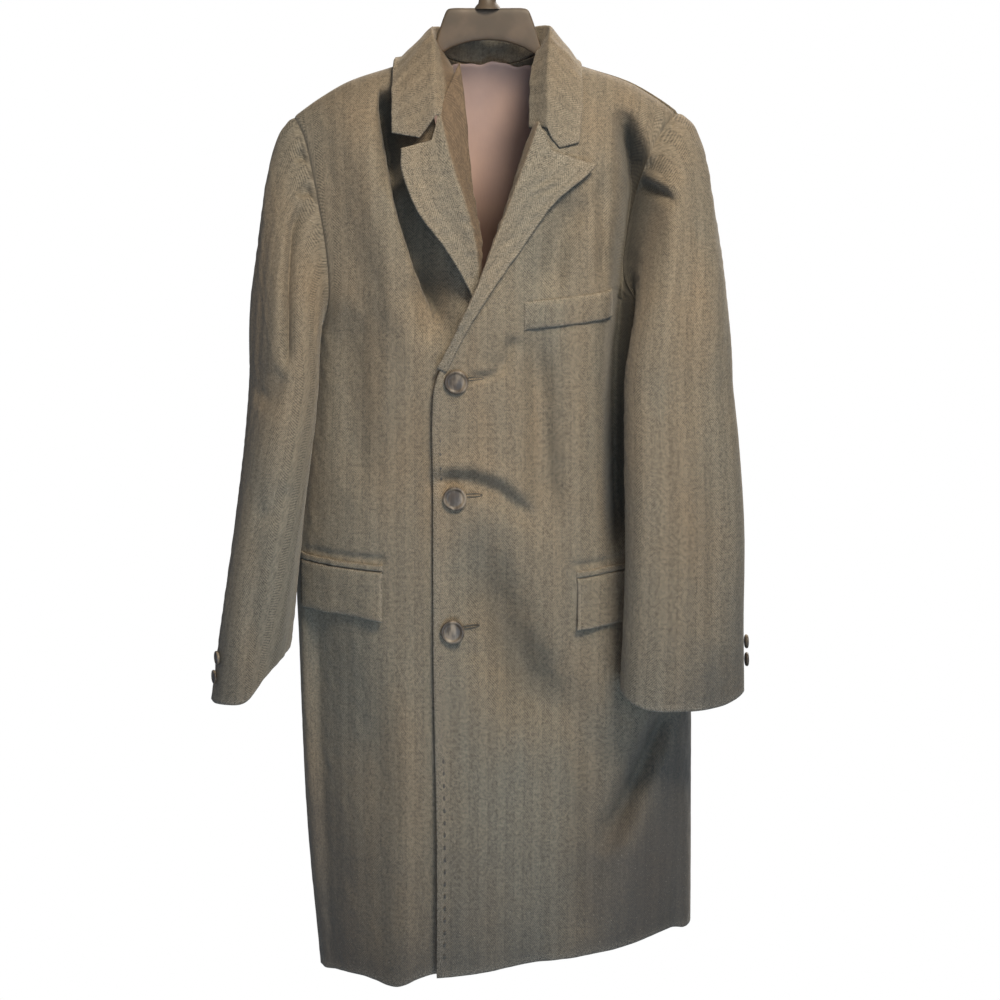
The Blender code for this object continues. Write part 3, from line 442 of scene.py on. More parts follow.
SLEEVE_FRONT_CREASES = Pair(
    left=(
        Crease(((0.163, -0.259), (0.185, -0.268), (0.201, -0.276), (0.217, -0.272)),
               0.0066, 0.007, lip=0.004, fade=0.42),
        Crease(((0.176, -0.226), (0.178, -0.236), (0.178, -0.248)), 0.004, 0.004),
        Crease(((0.1883, -0.211), (0.1883, -0.215), (0.187, -0.218)), 0.0028, 0.003),
        Crease(((0.2045, -0.1985), (0.206, -0.1995), (0.2075, -0.2)), 0.0025, 0.0028),
        Crease(((0.205, -0.3), (0.228, -0.42), (0.232, -0.58)), 0.016, 0.005),
        Crease(((0.185, -0.45), (0.198, -0.6), (0.19, -0.76)), 0.014, 0.005),
        Crease(((0.245, -0.5), (0.252, -0.64), (0.246, -0.8)), 0.013, 0.004),
    ),
    right=(
        Crease(((-0.215, -0.238), (-0.2065, -0.2325), (-0.1935, -0.24)),
               0.0032, 0.0085, fade=0.34, wide=0.0075),
        Crease(((-0.208, -0.279), (-0.2007, -0.27), (-0.187, -0.277)),
               0.0034, 0.01, fade=0.34, wide=0.008),
        Crease(((-0.201, -0.271), (-0.209, -0.2909), (-0.2159, -0.3106), (-0.2199, -0.3656),
                (-0.2225, -0.47)), 0.005, 0.015, fade=0.18, wide=0.01),
        Crease(((-0.222, -0.455), (-0.24, -0.49), (-0.262, -0.505)), 0.012, 0.005),
        Crease(((-0.215, -0.585), (-0.238, -0.62), (-0.262, -0.63)), 0.012, 0.004),
        Crease(((-0.25, -0.56), (-0.258, -0.68), (-0.27, -0.82)), 0.012, 0.005),
    ),
)

SLEEVE_BACK_CREASES = Pair(
    left=(
        Crease(((0.2, -0.44), (0.222, -0.47), (0.25, -0.476)), 0.013, 0.005),
        Crease(((0.195, -0.52), (0.222, -0.548), (0.252, -0.545)), 0.012, 0.004),
        Crease(((0.222, -0.56), (0.23, -0.68), (0.232, -0.8)), 0.013, 0.004),
    ),
    right=(
        Crease(((-0.205, -0.445), (-0.23, -0.475), (-0.258, -0.48)), 0.013, 0.005),
        Crease(((-0.212, -0.53), (-0.236, -0.555), (-0.262, -0.55)), 0.012, 0.004),
        Crease(((-0.24, -0.57), (-0.252, -0.69), (-0.268, -0.81)), 0.013, 0.004),
    ),
)


@dataclass
class CoatBody:
    """Form of the coat's body, which the panels, pockets, lapels and sleeves share."""

    centre: float = 0.005
    power: float = 2.3
    shoulder_round: float = 0.2
    neck_half: float = 0.062
    back_neck: float = -0.134
    tips: Pair[float] = Pair(0.212, -0.219)
    hem_height: float = -1.148
    hem_slope: float = 0.123
    hem_bend: float = -0.235
    hem_dip: float = 0.01
    hem_dip_x: float = -0.108
    hem_dip_width: float = 0.026
    underarm: float = 0.753
    neck_split: float = 0.22
    lap_stand: float = 0.0075
    lap_at_roll: float = 0.0095
    lap_roll_z: float = -0.385
    lap_roll_reach: float = 0.075
    lap_low: float = 0.009
    lap_low_z: float = -0.8
    lap_low_reach: float = 0.3
    lap_from: float = 0.055
    lap_to: float = -0.012
    draw_share: float = 0.7
    draw_most: float = 3.0
    side_still: float = 0.12
    ridge_still: float = 0.22
    shift_still: float = 0.06
    dip_power: int = 12
    crown_power: int = 10

    def ridge(self, x: Array) -> Array:
        """Height of the shoulder ridge."""
        return RIDGE.at(np.abs(x), "z")

    def half_width(self, x: Array, z: Array) -> Array:
        """Half of a section on the side where a place lies."""
        left, right = LEVELS.at(z, "left"), LEVELS.at(z, "right")
        return np.where(x >= self.centre, right - self.centre, self.centre - left)

    def share(self, x: Array, z: Array) -> Array:
        """Share of the way from the middle of a section to its side."""
        return np.clip(np.abs(x - self.centre) / self.half_width(x, z), 0.0, 1.0)

    def angle(self, x: Array, z: Array) -> Array:
        """Angle round a section, -1 to 1 from side seam to side seam."""
        turn = np.arcsin(self.share(x, z) ** (self.power / 2.0)) / (math.pi / 2.0)
        return np.where(x >= self.centre, turn, -turn)

    def place(self, angle: Array, z: Array) -> Array:
        """Place across at an angle round a section."""
        half = np.where(angle >= 0.0, LEVELS.at(z, "right"), LEVELS.at(z, "left")) - self.centre
        return self.centre + half * np.sin(np.abs(angle) * math.pi / 2.0) ** (2.0 / self.power)

    def depth(self, x: Array, z: Array, front: bool, creased: bool = True) -> Array:
        """Depth position of the cloth's outside.

        Args:
            x: Places across.
            z: Places in height.
            front: True for the fronts, False for the back.
            creased: Whether the creases press it in.

        Returns:
            Y of each place.
        """
        share = self.share(x, z)
        bulge = np.where(share < NEARLY_ONE, (1.0 - np.minimum(share, NEARLY_ONE) ** self.power), 0.0)
        bulge = bulge ** (1.0 / self.power)
        fall = np.clip((self.ridge(x) - z) / self.shoulder_round, 0.0, 1.0)
        rounding = np.sqrt(1.0 - (1.0 - fall) ** 2)
        level = LEVELS.at(z, "front" if front else "back")
        y = mix(LEVELS.at(z, "side"), level, bulge) * rounding
        if not creased:
            return y
        creases = FRONT_CREASES if front else BACK_CREASES
        reach = ease((1.0 - share) / self.side_still) * ease(fall / self.ridge_still)
        push = pressed(creases, x, z) * reach
        return y + push if front else y - push

    def lap(self, x: Array, z: Array) -> Array:
        """How far the wearer's left front stands off the right one.

        Args:
            x: Places across.
            z: Places in height.

        Returns:
            Distance at each place.
        """
        near = ease((self.lap_from - x) / (self.lap_from - self.lap_to))
        roll = np.exp(-((z - self.lap_roll_z) / self.lap_roll_reach) ** 2)
        low = ease((self.lap_low_z - z) / self.lap_low_reach)
        return near * (self.lap_stand + self.lap_at_roll * roll + self.lap_low * low)

    def front_depth(self, side: Side, x: Array, z: Array, creased: bool = True) -> Array:
        """Depth position of one front's outside."""
        y = self.depth(x, z, True, creased)
        return y - self.lap(x, z) if side is Side.LEFT else y

    def hem(self, x: Array) -> Array:
        """Height of the hem, which hangs lower at the wearer's right."""
        return self.hem_height + self.hem_slope * x + self.hem_bend * x * x

    def spread(self, low: Array, full: Array, high: Array, across: Array) -> Array:
        """Angle across a panel, drawn in to the armhole mostly near its outer edge.

        Args:
            low: Angle at the inner edge.
            full: Angle at the side.
            high: Angle at the outer edge.
            across: Shares from the inner to the outer edge.

        Returns:
            Angle at each share.
        """
        drawn = full - high
        safe = np.where(np.abs(drawn) > 1e-6, drawn, 1.0)
        power = np.clip(self.draw_share * (full - low) / safe, 1.0, self.draw_most)
        power = np.where(np.abs(drawn) > 1e-6, power, 1.0)
        return mix(low, full, across) - drawn * across ** power

    def side_height(self, side: Side, share: Array) -> Array:
        """Height of a panel's outer edge."""
        foot = LEVELS.at(self.hem_height, "right" if side is Side.LEFT else "left")
        return mix(self.hem(foot), self.ridge(self.tips[side]), share)

    def outer_angle(self, side: Side, share: Array, column: str) -> Array:
        """Angle of a panel's outer edge: the side seam, then the armhole.

        Args:
            side: Side of the coat.
            share: Shares from the hem to the shoulder.
            column: Column of the armhole table.

        Returns:
            Angle at each share.
        """
        z = self.side_height(side, share)
        reach = ARMHOLES.at(share, column)
        if column == "back":
            reach = reach * side.value
        return np.where(share > self.underarm, self.angle(reach, z), float(side.value))

    def shoulder(self, side: Side, across: Array) -> Array:
        """Place across on the shoulder seam.

        Args:
            side: Which shoulder.
            across: Shares from the neck to the tip.

        Returns:
            X of each place.
        """
        neck_z, tip_z = self.ridge(self.neck_half), self.ridge(self.tips[side])
        low = self.angle(side.value * self.neck_half, neck_z)
        high = self.angle(self.tips[side], tip_z)
        return self.place(self.spread(low, float(side.value), high, across), mix(neck_z, tip_z, across))

    def front_points(self, side: Side, across: Array, share: Array, creased: bool = True) -> Array:
        """Points of a front.

        Args:
            side: Which front.
            across: Shares from the inner edge to the side.
            share: Shares from the hem to the shoulder.
            creased: Whether the creases press it in.

        Returns:
            Grid of points, a row for each share.
        """
        edge = EDGES[side]
        sign = float(side.value)
        top_x = self.shoulder(side, across)
        foot_in = edge.at(self.hem_height, "x")
        foot_x = self.place(mix(self.angle(foot_in, self.hem_height), sign, across), self.hem_height)
        rows = share[:, None]
        z = mix(self.hem(foot_x)[None, :], self.ridge(top_x)[None, :], rows)
        if side is Side.RIGHT:
            dip = self.hem_dip * np.exp(-((foot_x - self.hem_dip_x) / self.hem_dip_width) ** 2)
            z = z - dip[None, :] * (1.0 - rows) ** self.dip_power
        z_in = mix(self.hem(foot_in), self.ridge(self.neck_half), share)
        low = self.angle(edge.at(z_in, "x"), z_in)
        high = self.outer_angle(side, share, side.label)
        x = self.place(self.spread(low[:, None], sign, high[:, None], across[None, :]), z)
        moved = creased * carried(FRONT_CREASES, x, z) * ease((1.0 - across) / self.shift_still)[None, :]
        points = np.stack((x + moved, self.front_depth(side, x, z, creased), z), axis=-1)
        seam = np.stack((top_x, np.zeros_like(top_x), self.ridge(top_x)), axis=-1)
        return np.where((rows >= 1.0)[..., None], seam[None], points)

    def back_points(self, side: Side, across: Array, share: Array, creased: bool = True) -> Array:
        """Points of half the back.

        Args:
            side: Which half.
            across: Shares from the middle to the side.
            share: Shares from the hem to the shoulder and neck.
            creased: Whether the creases press it in.

        Returns:
            Grid of points, a row for each share.
        """
        sign = float(side.value)
        split = self.neck_split
        neck_x = sign * self.neck_half * np.minimum(across / split, 1.0)
        neck_z = mix(self.back_neck, self.ridge(self.neck_half), (neck_x / self.neck_half) ** 2)
        shoulder_x = self.shoulder(side, np.maximum(across - split, 0.0) / (1.0 - split))
        on_shoulder = across >= split
        top_x = np.where(on_shoulder, shoulder_x, neck_x)
        top_z = np.where(on_shoulder, self.ridge(shoulder_x), neck_z)
        top_y = np.where(on_shoulder, 0.0, self.depth(neck_x, neck_z, False))
        foot_x = self.place(mix(self.angle(0.0, self.hem_height), sign, across), self.hem_height)
        rows = share[:, None]
        z = mix(self.hem(foot_x)[None, :], top_z[None, :], rows)
        high = self.outer_angle(side, share, "back")[:, None]
        x = self.place(self.spread(self.angle(np.zeros_like(z), z), sign, high, across[None, :]), z)
        tip = self.angle(self.tips[side], self.ridge(self.tips[side]))
        crown = self.place(self.spread(self.angle(np.zeros_like(top_z), top_z), sign, tip, across), top_z)
        x = x + (top_x - crown)[None, :] * rows ** self.crown_power
        points = np.stack((x, self.depth(x, z, False, creased), z), axis=-1)
        top = np.stack((top_x, top_y, top_z), axis=-1)
        return np.where((rows >= 1.0)[..., None], top[None], points)


BODY = CoatBody()


def grid_normals(points: Array) -> Array:
    """Outward normals of a grid whose rows go up and columns go right, seen from outside."""
    return unit(np.cross(np.gradient(points, axis=1), np.gradient(points, axis=0)))


def run_lengths(points: Array, axis: int) -> Array:
    """Length along a grid's rows or columns from the first point of each.

    Args:
        points: The grid.
        axis: 0 to go up the columns, 1 to go along the rows.

    Returns:
        Length at each point.
    """
    steps = np.linalg.norm(np.diff(points, axis=axis), axis=-1)
    pad = [(0, 0), (0, 0)]
    pad[axis] = (1, 0)
    return np.cumsum(np.pad(steps, pad), axis=axis)


def fold_shade(creased: Array, plain: Array) -> Array:
    """Painted shade for the cloth of a front in a fold: 0 on its open face and 1 on the fold's floor."""
    return stepped(creased[..., 1] - plain[..., 1], FOLD_SHADE_SPAN)


def edge_distances(points: Array, sides: Sequence[str]) -> Array:
    """Distance over the cloth to the nearest of some sides of a grid.

    Args:
        points: Grid of the cloth.
        sides: Names of the sides.

    Returns:
        Distance at each point, and 1 without sides.
    """
    across, up = run_lengths(points, 1), run_lengths(points, 0)
    gaps = {"left": across, "right": across[:, -1:] - across, "bottom": up, "top": up[-1:] - up}
    nearest = np.full(across.shape, 1.0)
    for side in sides:
        nearest = np.minimum(nearest, gaps[side])
    return nearest


@dataclass
class ClothShell:
    """Closed shell of cloth: an outside grid, an inside grid and a rounded rim."""

    name: str
    points: Array
    weave: Array
    thickness: float = 0.0024
    sewn: tuple[str, ...] = ()
    grooved: tuple[str, ...] = ()
    seam_depth: float = 0.002
    seam_width: float = 0.0035
    worn_width: float = 0.007
    worn_all: float = 0.0
    facing: Array | None = None
    # Mask of painted shade where the cloth lies deep in a fold
    fold: Array | None = None
    rim_round: float = 0.4
    seed: int = 1
    wave: float = 0.0016
    crinkle: float = 0.0004
    waves: Place = (0.045, 0.13)
    crinkles: Place = (0.012, 0.03)
    slack: float = 0.3
    still: float = 0.04
    pull_down: float = 0.08

    def border(self) -> Array:
        """Border of the grid.

        Returns:
            Point numbers, anticlockwise seen from outside.
        """
        rows, columns = self.points.shape[:2]
        index = np.arange(rows * columns).reshape(rows, columns)
        return np.concatenate((index[0], index[1:, -1], index[-1, -2::-1], index[-2:0:-1, 0]))

    def outside(self) -> Array:
        """Outside grid, gently uneven and pulled in along its grooved seams.

        Returns:
            Grid of points.
        """
        across, along = self.weave[..., 0], self.weave[..., 1]
        uneven = self.wave * undulation(across, self.slack * along, self.seed, *self.waves)
        uneven = uneven + self.crinkle * undulation(across, along, self.seed + 50, *self.crinkles)
        uneven = uneven * ease(edge_distances(self.points, self.sewn) / self.still)
        gap = edge_distances(self.points, self.grooved)
        pull = self.seam_depth * np.exp(-(gap / self.seam_width) ** 2)
        inside = unit(self.points * np.array((-1.0, -1.0, 0.0)) + np.array((0.0, 0.0, -self.pull_down)))
        return self.points + grid_normals(self.points) * uneven[..., None] + inside * pull[..., None]

    def wear(self) -> Array:
        """How worn the cloth is.

        Returns:
            Wear at each point, highest along its open edges.
        """
        free = [side for side in ("left", "right", "bottom", "top") if side not in self.sewn]
        edge = np.exp(-(edge_distances(self.points, free) / self.worn_width) ** 2)
        return self.worn_all + (1.0 - self.worn_all) * edge

    def crisp(self, mesh: bpy.types.Mesh, index: Array) -> None:
        """Keep the shading of the outside even up to its sewn edges.

        Args:
            mesh: Mesh of the shell.
            index: Grid of the outside's point numbers.
        """
        lines = {"bottom": index[0], "top": index[-1], "left": index[:, 0], "right": index[:, -1]}
        sewn = [lines[side].tolist() for side in self.sewn]
        if not sewn:
            return
        pairs = {pair for line in sewn for pair in zip(line, line[1:])}
        sharp = [pair in pairs for pair in mesh.edge_keys]
        mesh.attributes.new("sharp_edge", "BOOLEAN", "EDGE").data.foreach_set("value", sharp)

    def build(self) -> Item:
        """Mesh object of the shell.

        Returns:
            Linked object with a weave map in metres and masks for wear, facing and painted fold shade.
        """
        rows, columns = self.points.shape[:2]
        count = rows * columns
        outer = self.outside()
        normals = grid_normals(outer)
        inner = outer - normals * self.thickness
        border = self.border()
        flat_outer, flat_inner = outer.reshape(-1, 3), inner.reshape(-1, 3)
        away = np.zeros_like(outer)
        free = [side not in self.sewn for side in ("bottom", "top", "left", "right")]
        away[0] += free[0] * unit(outer[0] - outer[1])
        away[-1] += free[1] * unit(outer[-1] - outer[-2])
        away[:, 0] += free[2] * unit(outer[:, 0] - outer[:, 1])
        away[:, -1] += free[3] * unit(outer[:, -1] - outer[:, -2])
        bulge = unit(away).reshape(-1, 3)[border] * self.thickness * self.rim_round
        middle = (flat_outer[border] + flat_inner[border]) / 2.0 + bulge
        index = np.arange(count).reshape(rows, columns)
        corners = (index[:-1, :-1], index[:-1, 1:], index[1:, 1:], index[1:, :-1])
        quads = np.stack(corners, axis=-1).reshape(-1, 4)
        here, there = border, np.roll(border, -1)
        mid_here = 2 * count + np.arange(len(border))
        mid_there = np.roll(mid_here, -1)
        rim_out = np.stack((here, mid_here, mid_there, there), axis=-1)
        rim_in = np.stack((mid_here, here + count, there + count, mid_there), axis=-1)
        faces = np.concatenate((quads, quads[:, ::-1] + count, rim_out, rim_in))
        weave = self.weave.reshape(-1, 2)
        item = mesh_object(self.name, np.concatenate((flat_outer, flat_inner, middle)), faces,
                           np.concatenate((weave, weave, weave[border])))
        self.crisp(item.data, index)
        blank = np.zeros((rows, columns))
        masks = {"wear": self.wear(), "facing": blank if self.facing is None else self.facing,
                 "fold": blank if self.fold is None else self.fold}
        for label, values in masks.items():
            flat = values.reshape(-1)
            attribute = item.data.attributes.new(label, "FLOAT", "POINT")
            attribute.data.foreach_set("value", np.concatenate((flat, flat, flat[border])).astype(np.float32))
        return item


def linked(name: str, data: bpy.types.ID) -> Item:
    """New object at the origin, linked to the scene.

    Args:
        name: Name of the object.
        data: Its mesh, curve, light or camera.

    Returns:
        The object.
    """
    item = bpy.data.objects.new(name, data)
    bpy.context.scene.collection.objects.link(item)
    return item


def finished(draft: Item, name: str) -> Item:
    """Plain mesh of a curve and its modifiers, in place of the curve.

    Args:
        draft: Curve object, which is removed.
        name: Name of the piece.

    Returns:
        Mesh object of the same shape.
    """
    seen = draft.evaluated_get(bpy.context.evaluated_depsgraph_get())
    mesh = bpy.data.meshes.new_from_object(seen)
    mesh.name = name
    bpy.data.objects.remove(draft)
    return linked(PREFIX + name, mesh)


def mesh_object(name: str, places: Array, faces: Array, weave: Array | None = None) -> Item:
    """Smooth mesh object linked to the scene.

    Args:
        name: Name of the piece.
        places: Points, a row each.
        faces: Corners of each face, all with the same count.
        weave: Map in metres for each point, if the piece has one.

    Returns:
        Object at the origin.
    """
    mesh = bpy.data.meshes.new(name)
    mesh.from_pydata(places.tolist(), [], faces.tolist())
    mesh.polygons.foreach_set("use_smooth", np.ones(len(mesh.polygons), bool))
    if weave is not None:
        corners = np.empty(len(mesh.loops), np.int32)
        mesh.loops.foreach_get("vertex_index", corners)
        layer = mesh.uv_layers.new(name="weave")
        layer.data.foreach_set("uv", weave[corners].astype(np.float32).ravel())
    mesh.update()
    return linked(PREFIX + name, mesh)


@dataclass(frozen=True)
class Cut:
    """Flat cut of a cloth piece before sewing, in metres and square metres."""

    width: float
    length: float
    area: float


@dataclass
class NodeTools:
    """Short ways to add and join the nodes of one tree."""

    tree: Tree

    def add(self, kind: str, **settings: object) -> Node:
        """New node with its settings.

        Args:
            kind: Node type.
            settings: Properties to set on it.

        Returns:
            The node.
        """
        node = self.tree.nodes.new(kind)
        for key, value in settings.items():
            setattr(node, key, value)
        return node

    def feed(self, socket: Socket, value: object) -> None:
        """Link a socket to another, or set its value.

        Args:
            socket: Socket to feed.
            value: Another socket or a plain value.
        """
        if isinstance(value, Socket):
            self.tree.links.new(value, socket)
        else:
            socket.default_value = value

    def fill(self, node: Node, values: dict[str | int, object]) -> None:
        """Feed several inputs of a node by their names or numbers."""
        for key, value in values.items():
            self.feed(node.inputs[key], value)

    def made(self, kind: str, values: dict[str | int, object], output: str | int = 0,
             **settings: object) -> Socket:
        """Output of a new node.

        Args:
            kind: Node type.
            values: What feeds its inputs, by their names or numbers.
            output: Name or number of the output.
            settings: Properties to set on it.

        Returns:
            The output.
        """
        node = self.add(kind, **settings)
        self.fill(node, values)
        return node.outputs[output]

    def place(self) -> Socket:
        """Place on the piece in metres."""
        return self.made("ShaderNodeTexCoord", {}, "Object")

    def chart(self) -> Socket:
        """Place on the piece's own map in metres."""
        return self.made("ShaderNodeUVMap", {}, uv_map="weave")

    def math(self, operation: str, *values: object, clamp: bool = False) -> Socket:
        """Result of an operation on values in order, kept between 0 and 1 if clamped."""
        return self.made("ShaderNodeMath", dict(enumerate(values)), operation=operation, use_clamp=clamp)

    def scaled(self, value: object, share: float) -> Socket:
        """Value times a share."""
        return self.math("MULTIPLY", value, share)

    def total(self, *terms: tuple[object, float], clamp: bool = False) -> Socket:
        """Sum of values, each times its weight.

        Args:
            terms: Values with their weights.
            clamp: Whether the sum is kept between 0 and 1.

        Returns:
            The sum.
        """
        summed: object = 0.0
        for value, weight in terms:
            summed = self.math("MULTIPLY_ADD", value, weight, summed)
        return self.math("ADD", summed, 0.0, clamp=True) if clamp else summed

    def split(self, vector: object) -> tuple[Socket, ...]:
        """The three parts of a vector."""
        return tuple(self.made("ShaderNodeSeparateXYZ", {0: vector}).node.outputs)

    def blend(self, share: object, low: object, high: object, kind: str = "MIX") -> Socket:
        """Colour between two colours, with a share of the second."""
        return self.made("ShaderNodeMix", {0: share, 6: low, 7: high}, 2, data_type="RGBA", blend_type=kind)

    def ramp(self, value: object, low: float, high: float, to_low: float = 0.0,
             to_high: float = 1.0) -> Socket:
        """Value brought smoothly from one range to another."""
        values = {"Value": value, "From Min": low, "From Max": high, "To Min": to_low, "To Max": to_high}
        return self.made("ShaderNodeMapRange", values, interpolation_type="SMOOTHSTEP")

    def noise(self, vector: object, scale: float, detail: float = 2.0,
              stretch: Triple = (1.0, 1.0, 1.0)) -> Socket:
        """Noise over a vector whose parts are stretched."""
        turned = self.made("ShaderNodeMapping", {"Vector": vector, "Scale": stretch})
        return self.made("ShaderNodeTexNoise", {"Vector": turned, "Scale": scale, "Detail": detail})

    def bump(self, shader: Node, height: object, strength: float, distance: float) -> None:
        """Raise and sink a shader's surface by a height."""
        values = {"Height": height, "Strength": strength, "Distance": distance}
        self.feed(shader.inputs["Normal"], self.made("ShaderNodeBump", values))


def new_group(name: str, vectors: Sequence[str], floats: Sequence[str],
              outputs: Sequence[str]) -> tuple[NodeTools, Node, Node]:
    """Empty shader group with named sockets.

    Args:
        name: Name of the group.
        vectors: Its vector inputs.
        floats: Its number inputs.
        outputs: Its number outputs.

    Returns:
        Tools for its tree, its input node and its output node.
    """
    tree = bpy.data.node_groups.new(name, "ShaderNodeTree")
    sockets = [(label, "INPUT", "NodeSocketVector") for label in vectors]
    sockets += [(label, "INPUT", "NodeSocketFloat") for label in floats]
    sockets += [(label, "OUTPUT", "NodeSocketFloat") for label in outputs]
    for label, way, kind in sockets:
        tree.interface.new_socket(label, in_out=way, socket_type=kind)
    tools = NodeTools(tree)
    return tools, tools.add("NodeGroupInput"), tools.add("NodeGroupOutput")


@dataclass
class HerringboneGroup:
    """Shader group of a broken-twill herringbone over a map in metres."""

    name: str = "herringbone"
    steepness: float = 1.25
    wander: float = 0.0016
    turn_from: float = 0.36
    tree: Tree | None = None

    def build(self) -> Tree:
        """Group with the yarn mask, the height and the tone of the columns.

        Returns:
            The group, built once.
        """
        if self.tree:
            return self.tree
        tools, entry, leave = new_group(self.name, ("Map",), ("Column", "Pitch"), ("Yarn", "Height", "Tone"))
        chart, column, pitch = (entry.outputs[label] for label in ("Map", "Column", "Pitch"))
        wander = tools.scaled(tools.math("SUBTRACT", tools.noise(chart, 60.0), 0.5), self.wander)
        u, v, _ = tools.split(chart)
        across = tools.math("DIVIDE", tools.math("ADD", u, wander), column)
        zigzag = tools.math("PINGPONG", across, 1.0)
        parity = tools.math("ABSOLUTE", tools.math("MODULO", tools.math("FLOOR", across), 2.0))
        slant = tools.scaled(tools.math("MULTIPLY", zigzag, column), self.steepness)
        broken = tools.scaled(tools.math("MULTIPLY", parity, pitch), 0.5)
        run = tools.math("ADD", tools.math("ADD", v, slant), tools.math("ADD", broken, wander))
        wave = tools.math("SINE", tools.scaled(tools.math("DIVIDE", run, pitch), 2.0 * math.pi))
        turn = tools.ramp(tools.math("ABSOLUTE", tools.math("SUBTRACT", zigzag, 0.5)), self.turn_from, 0.5)
        tools.fill(leave, {"Yarn": tools.ramp(wave, -0.75, 0.75),
                           "Height": tools.total((wave, 0.5), (turn, -0.5)),
                           "Tone": tools.total((parity, 1.0), (turn, -0.8))})
        self.tree = tools.tree
        return self.tree


@dataclass(frozen=True)
class NoiseMask:
    """Mask of a noise, from 0 to 1 between two of its values."""

    name: str
    over: str
    scale: float
    detail: float
    low: float
    high: float
    stretch: Triple = (1.0, 1.0, 1.0)


@dataclass
class HeatherGroup:
    """Shader group of mottled fibres, slubs, broad faded patches, and a darkening of the skirt towards the
    hem.
    """

    name: str = "heather"
    masks: tuple[NoiseMask, ...] = (
        NoiseMask("Speckle", "Map", 640.0, 2.0, 0.27, 0.73),
        NoiseMask("Mottle", "Map", 250.0, 5.0, 0.28, 0.72),
        NoiseMask("Slub", "Map", 210.0, 3.0, 0.3, 0.7, (1.0, 0.22, 1.0)),
        NoiseMask("Fleck", "Map", 520.0, 1.0, 0.66, 0.76),
        NoiseMask("Patch", "Place", 7.0, 3.0, 0.3, 0.7, (1.0, 1.0, 0.4)),
        NoiseMask("Streak", "Place", 15.0, 4.0, 0.25, 0.75, (1.0, 1.0, 0.2)),
    )
    hem_dark_low: float = -1.12
    hem_dark_high: float = -0.8
    hem_dark_uneven: float = 0.3
    side_from: float = 0.11
    side_climb: float = 1.3
    left_more: float = 1.3
    tree: Tree | None = None

    def build(self) -> Tree:
        """Group with a mask for each noise and for the darkening towards the hem, which climbs at the sides.

        Returns:
            The group, built once.
        """
        if self.tree:
            return self.tree
        names = [mask.name for mask in self.masks]
        tools, entry, leave = new_group(self.name, ("Map", "Place"), (), (*names, "Soil"))
        for mask in self.masks:
            noise = tools.noise(entry.outputs[mask.over], mask.scale, mask.detail, mask.stretch)
            tools.feed(leave.inputs[mask.name], tools.ramp(noise, mask.low, mask.high))
        place = entry.outputs["Place"]
        x, _, z = tools.split(place)
        reach = tools.math("MAXIMUM", tools.scaled(x, self.left_more), tools.scaled(x, -1.0))
        aside = tools.math("MAXIMUM", tools.math("SUBTRACT", reach, self.side_from), 0.0)
        uneven = tools.noise(place, 11.0, 3.0)
        # Darker towards the hem, climbing higher at the sides and most at the wearer's left
        level = tools.total((z, 1.0), (aside, -self.side_climb), (uneven, self.hem_dark_uneven))
        tools.feed(leave.inputs["Soil"], tools.ramp(level, self.hem_dark_low, self.hem_dark_high, 1.0, 0.0))
        self.tree = tools.tree
        return self.tree


HERRINGBONE = HerringboneGroup()
HEATHER = HeatherGroup()


def new_material(name: str) -> tuple[Material, NodeTools, Node]:
    """Material with a Principled shader.

    Args:
        name: Name of the finish.

    Returns:
        Material, tools for its tree, and the shader.
    """
    material = bpy.data.materials.new(name)
    material.use_nodes = True
    return material, NodeTools(material.node_tree), material.node_tree.nodes["Principled BSDF"]


